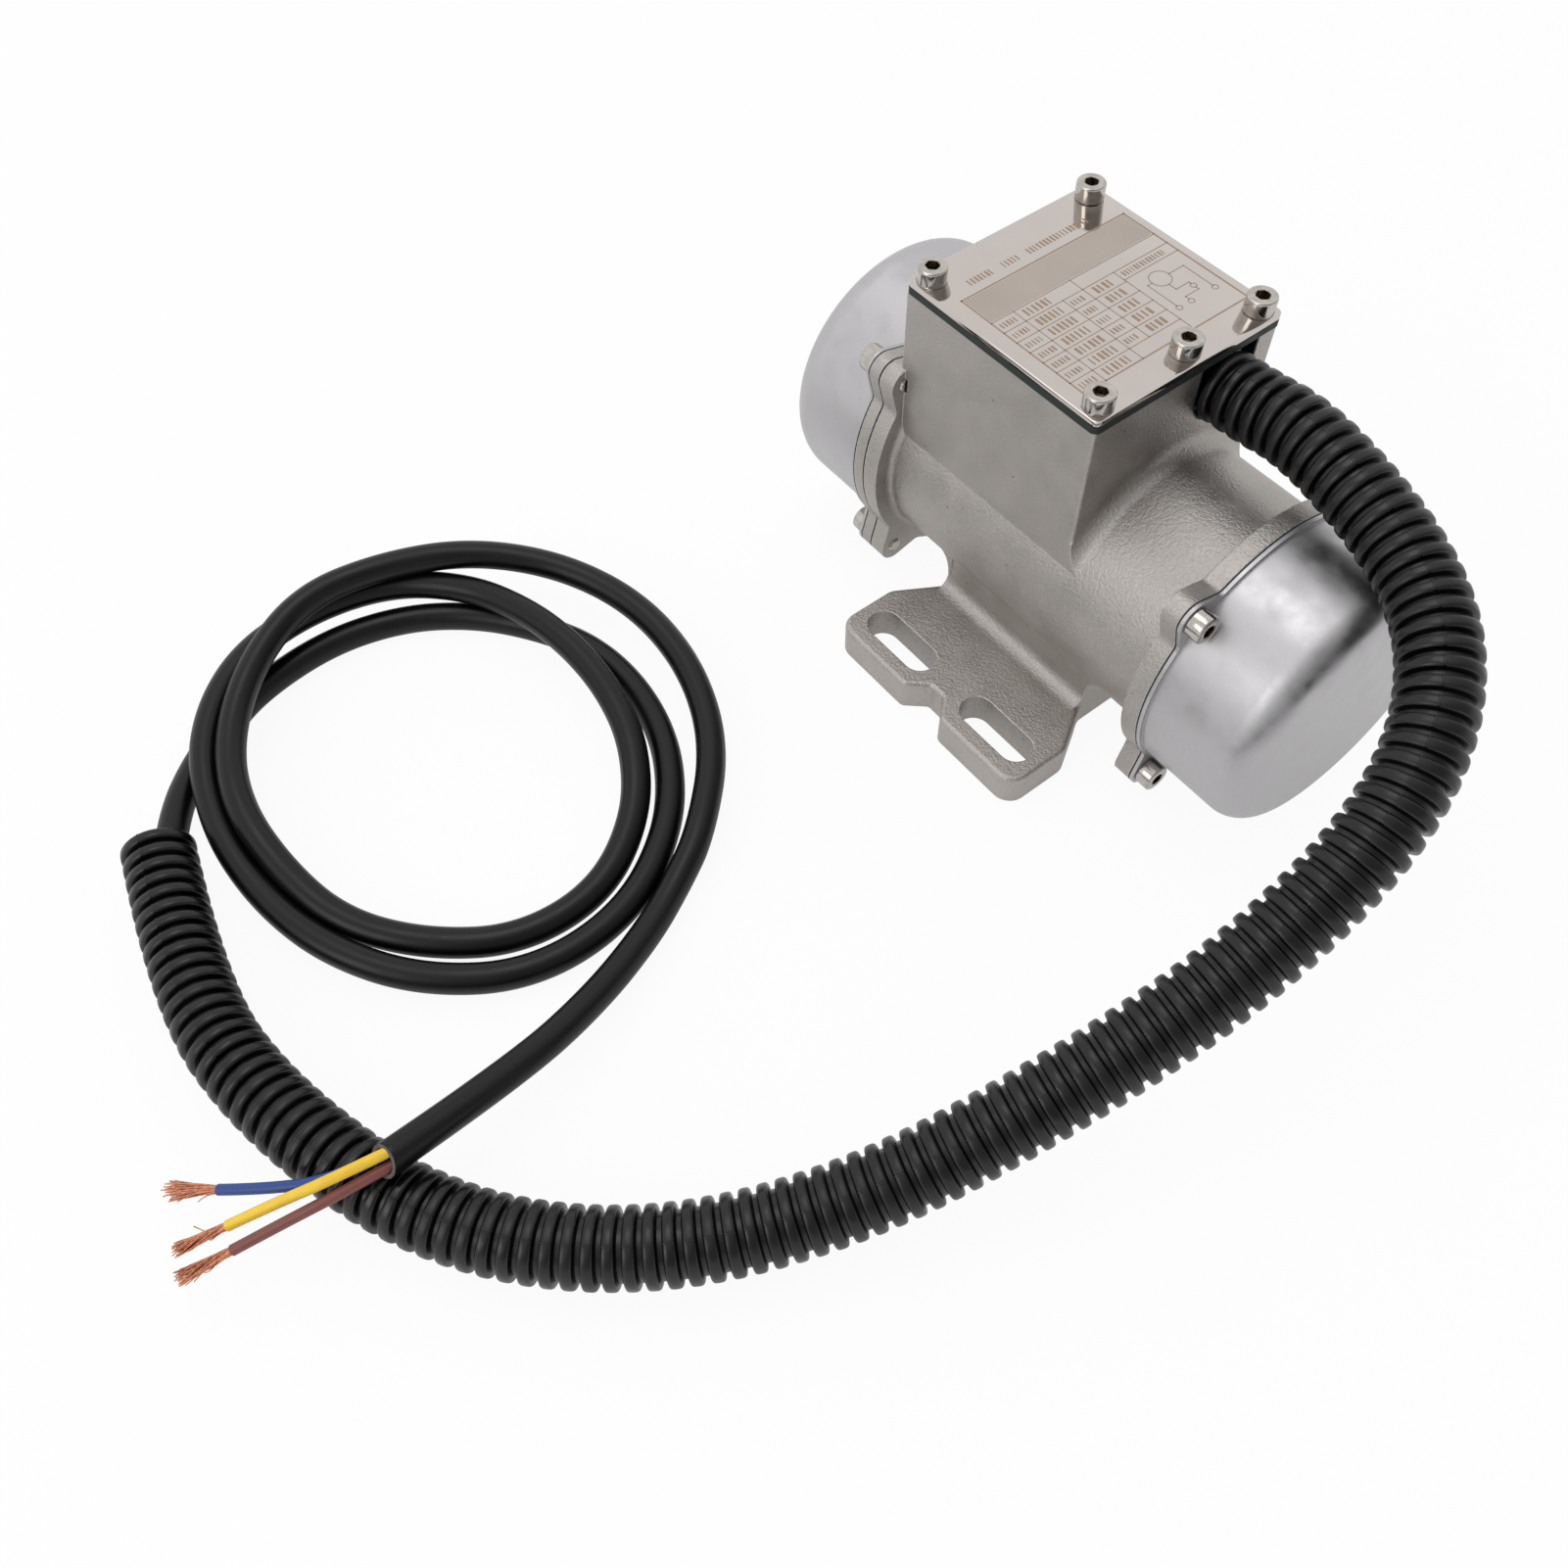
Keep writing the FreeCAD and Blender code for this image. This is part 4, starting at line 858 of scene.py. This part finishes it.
# %% Finish the cores, the mouldings and the copper
# Coloured PVC, extruded: even, slightly waxy colours.
finishes["core_blue_pvc"] = surface("extruded_blue_pvc", "27458b", 0.4, grain=0.3, depth=0.004, mottle=3,
                                    tone=0.06)
finishes["core_yellow_pvc"] = surface("extruded_yellow_pvc", "f4ca35", 0.4, grain=0.3, depth=0.004, mottle=3,
                                      tone=0.05)
finishes["core_brown_pvc"] = surface("extruded_brown_pvc", "7d463f", 0.42, grain=0.3, depth=0.004, mottle=3,
                                     tone=0.06)
# Pale polyamide, moulded: the terminal block's milky matt skin.
finishes["block_plastic"] = surface("moulded_pale_polyamide", "d8d4c8", 0.5, grain=0.2, depth=0.004,
                                    edge_mm=0.2)
# Grey polypropylene, moulded: the capacitor's plain case.
finishes["capacitor_plastic"] = surface("moulded_grey_polypropylene", "5a5d60", 0.45, grain=0.3, depth=0.006,
                                        edge_mm=0.3)
# Copper wire, drawn and bare: pink and bright, with darker patches from handling.
finishes["copper_strands"] = surface("drawn_bare_copper", "ca8b6e", 0.28, 1.0, grain=0.15, depth=0.002,
                                     mottle=0.8, tone=0.25)
print("finishes:", len(finishes) + 4)

# %% [markdown]
# ## Finishes on the pieces
#
# Every CAD solid and every new piece names a slot, and the slot picks its finish, so a piece never needs to
# be found by hand. Only the marks, the sockets and the cut edge of the jacket differ from their slot.

# %% Give every piece its finish
for solid in frame["nodes"].values():
    for place in solid.material_slots:
        place.material = finishes[place.material.name.split(".")[0]]
for piece in bpy.data.objects:
    if piece.get("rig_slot"):
        piece.data.materials.clear()
        piece.data.materials.append(finishes[piece["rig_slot"]])
marking.data.materials[0] = browning
band.data.materials[0] = matting
# The sockets get their darker finish of painted shade.
for _, sockets in hardware:
    sockets.data.materials[0] = socket_painted_shade
jacket_cut.data.materials[0] = cut_rubber

# %% [markdown]
# ## Table
#
# The motor stands on a white table. Lighting the table until it looks white would burn out the metal, so a
# camera, a metal or a glass sees it mostly as plain white, by way of the Light Path node. Only a faint shadow
# is left under the pieces, while the light that the table throws back is real.

# %% Set up the table
table_half = 4.0
table_gap = 0.0002            # the table lies this far under the feet, so that no faces coincide
seen_white = 0.93             # share of plain white where the table is seen directly
mirrored_white = 0.45         # the same where it is seen in a reflection


def white_table(direct, mirrored):
    """White paper, mixed with plain white where it is seen directly and less so in a reflection."""
    material = bpy.data.materials.new("white_table")
    material.use_nodes = True
    tree = material.node_tree
    paper = tree.nodes["Principled BSDF"]
    paper.inputs["Base Color"].default_value = (0.95, 0.95, 0.95, 1)
    paper.inputs["Roughness"].default_value = 0.9
    rays = node(tree, "LightPath").outputs
    seen = node(tree, "Math", (rays["Is Camera Ray"], rays["Is Glossy Ray"]), operation="MAXIMUM")
    seen = node(tree, "Math", (seen, rays["Is Transmission Ray"]), operation="MAXIMUM")
    seen = node(tree, "Math", (seen, mirrored), operation="MULTIPLY")
    share = node(tree, "Math", (rays["Is Camera Ray"], direct - mirrored, seen), operation="MULTIPLY_ADD")
    plain = node(tree, "Emission", {"Color": (1, 1, 1, 1), "Strength": 1.0})
    both = node(tree, "MixShader", (share, paper, plain))
    tree.links.new(both.outputs[0], tree.nodes["Material Output"].inputs["Surface"])
    return material


corners = [(-table_half, -table_half, 0), (table_half, -table_half, 0), (table_half, table_half, 0),
           (-table_half, table_half, 0)]
mesh = bpy.data.meshes.new("floor")
mesh.from_pydata(corners, [], [(0, 1, 2, 3)])
floor = bpy.data.objects.new("floor", mesh)
bpy.context.collection.objects.link(floor)
floor.location.z = -table_gap
floor.data.materials.append(white_table(seen_white, mirrored_white))
print("table:", 2 * table_half, "m across")

# %% [markdown]
# ## Light
#
# The studio is white all round, apart from a greyer part high up beyond the front cap, which models the
# casting and gives that cap its dark band. Dark cards would do the same, but they would show in other views.
# Two soft boxes, overhead and in front, draw the long highlights on the caps.

# %% Light the studio
white_level, grey_level = 0.95, 0.36
world = bpy.data.worlds.new("sky")
bpy.context.scene.world = world
world.use_nodes = True
tree = world.node_tree
ways = node(tree, "SeparateXYZ", (node(tree, "TexCoord").outputs["Generated"],)).outputs
beyond_cap = node(tree, "MapRange", (ways["X"], 0.0, 0.5, 0.0, 1.0))
above_horizon = node(tree, "MapRange", (ways["Z"], 0.1, 0.35, 0.0, 1.0))
greyer = node(tree, "Math", (beyond_cap, above_horizon), operation="MULTIPLY")
level = node(tree, "MapRange", (greyer, 0.0, 1.0, white_level, grey_level))
tree.links.new(level.outputs[0], tree.nodes["Background"].inputs["Strength"])
tree.nodes["Background"].inputs["Color"].default_value = (1, 1, 1, 1)


def soft_light(name, place, target, size, power):
    """Square area light at place, turned to target."""
    data = bpy.data.lights.new(name, "AREA")
    data.size = size
    data.energy = power
    lamp = bpy.data.objects.new(name, data)
    lamp.location = place
    lamp.rotation_euler = (Vector(target) - Vector(place)).to_track_quat("-Z", "Y").to_euler()
    bpy.context.collection.objects.link(lamp)


soft_light("overhead", place=(-0.25, -0.1, 1.0), target=(0, 0, 0.04), size=0.5, power=1.2)
soft_light("front", place=(0.05, -1.05, 0.6), target=(0, 0, 0.04), size=0.5, power=1.7)
bpy.context.scene.view_settings.view_transform = "Standard"
print("lights placed:", len(bpy.data.lights))

# %% [markdown]
# ## End

# The dressed part has to stay inside the imported model's box.

# %% Finish
print("scene ready")
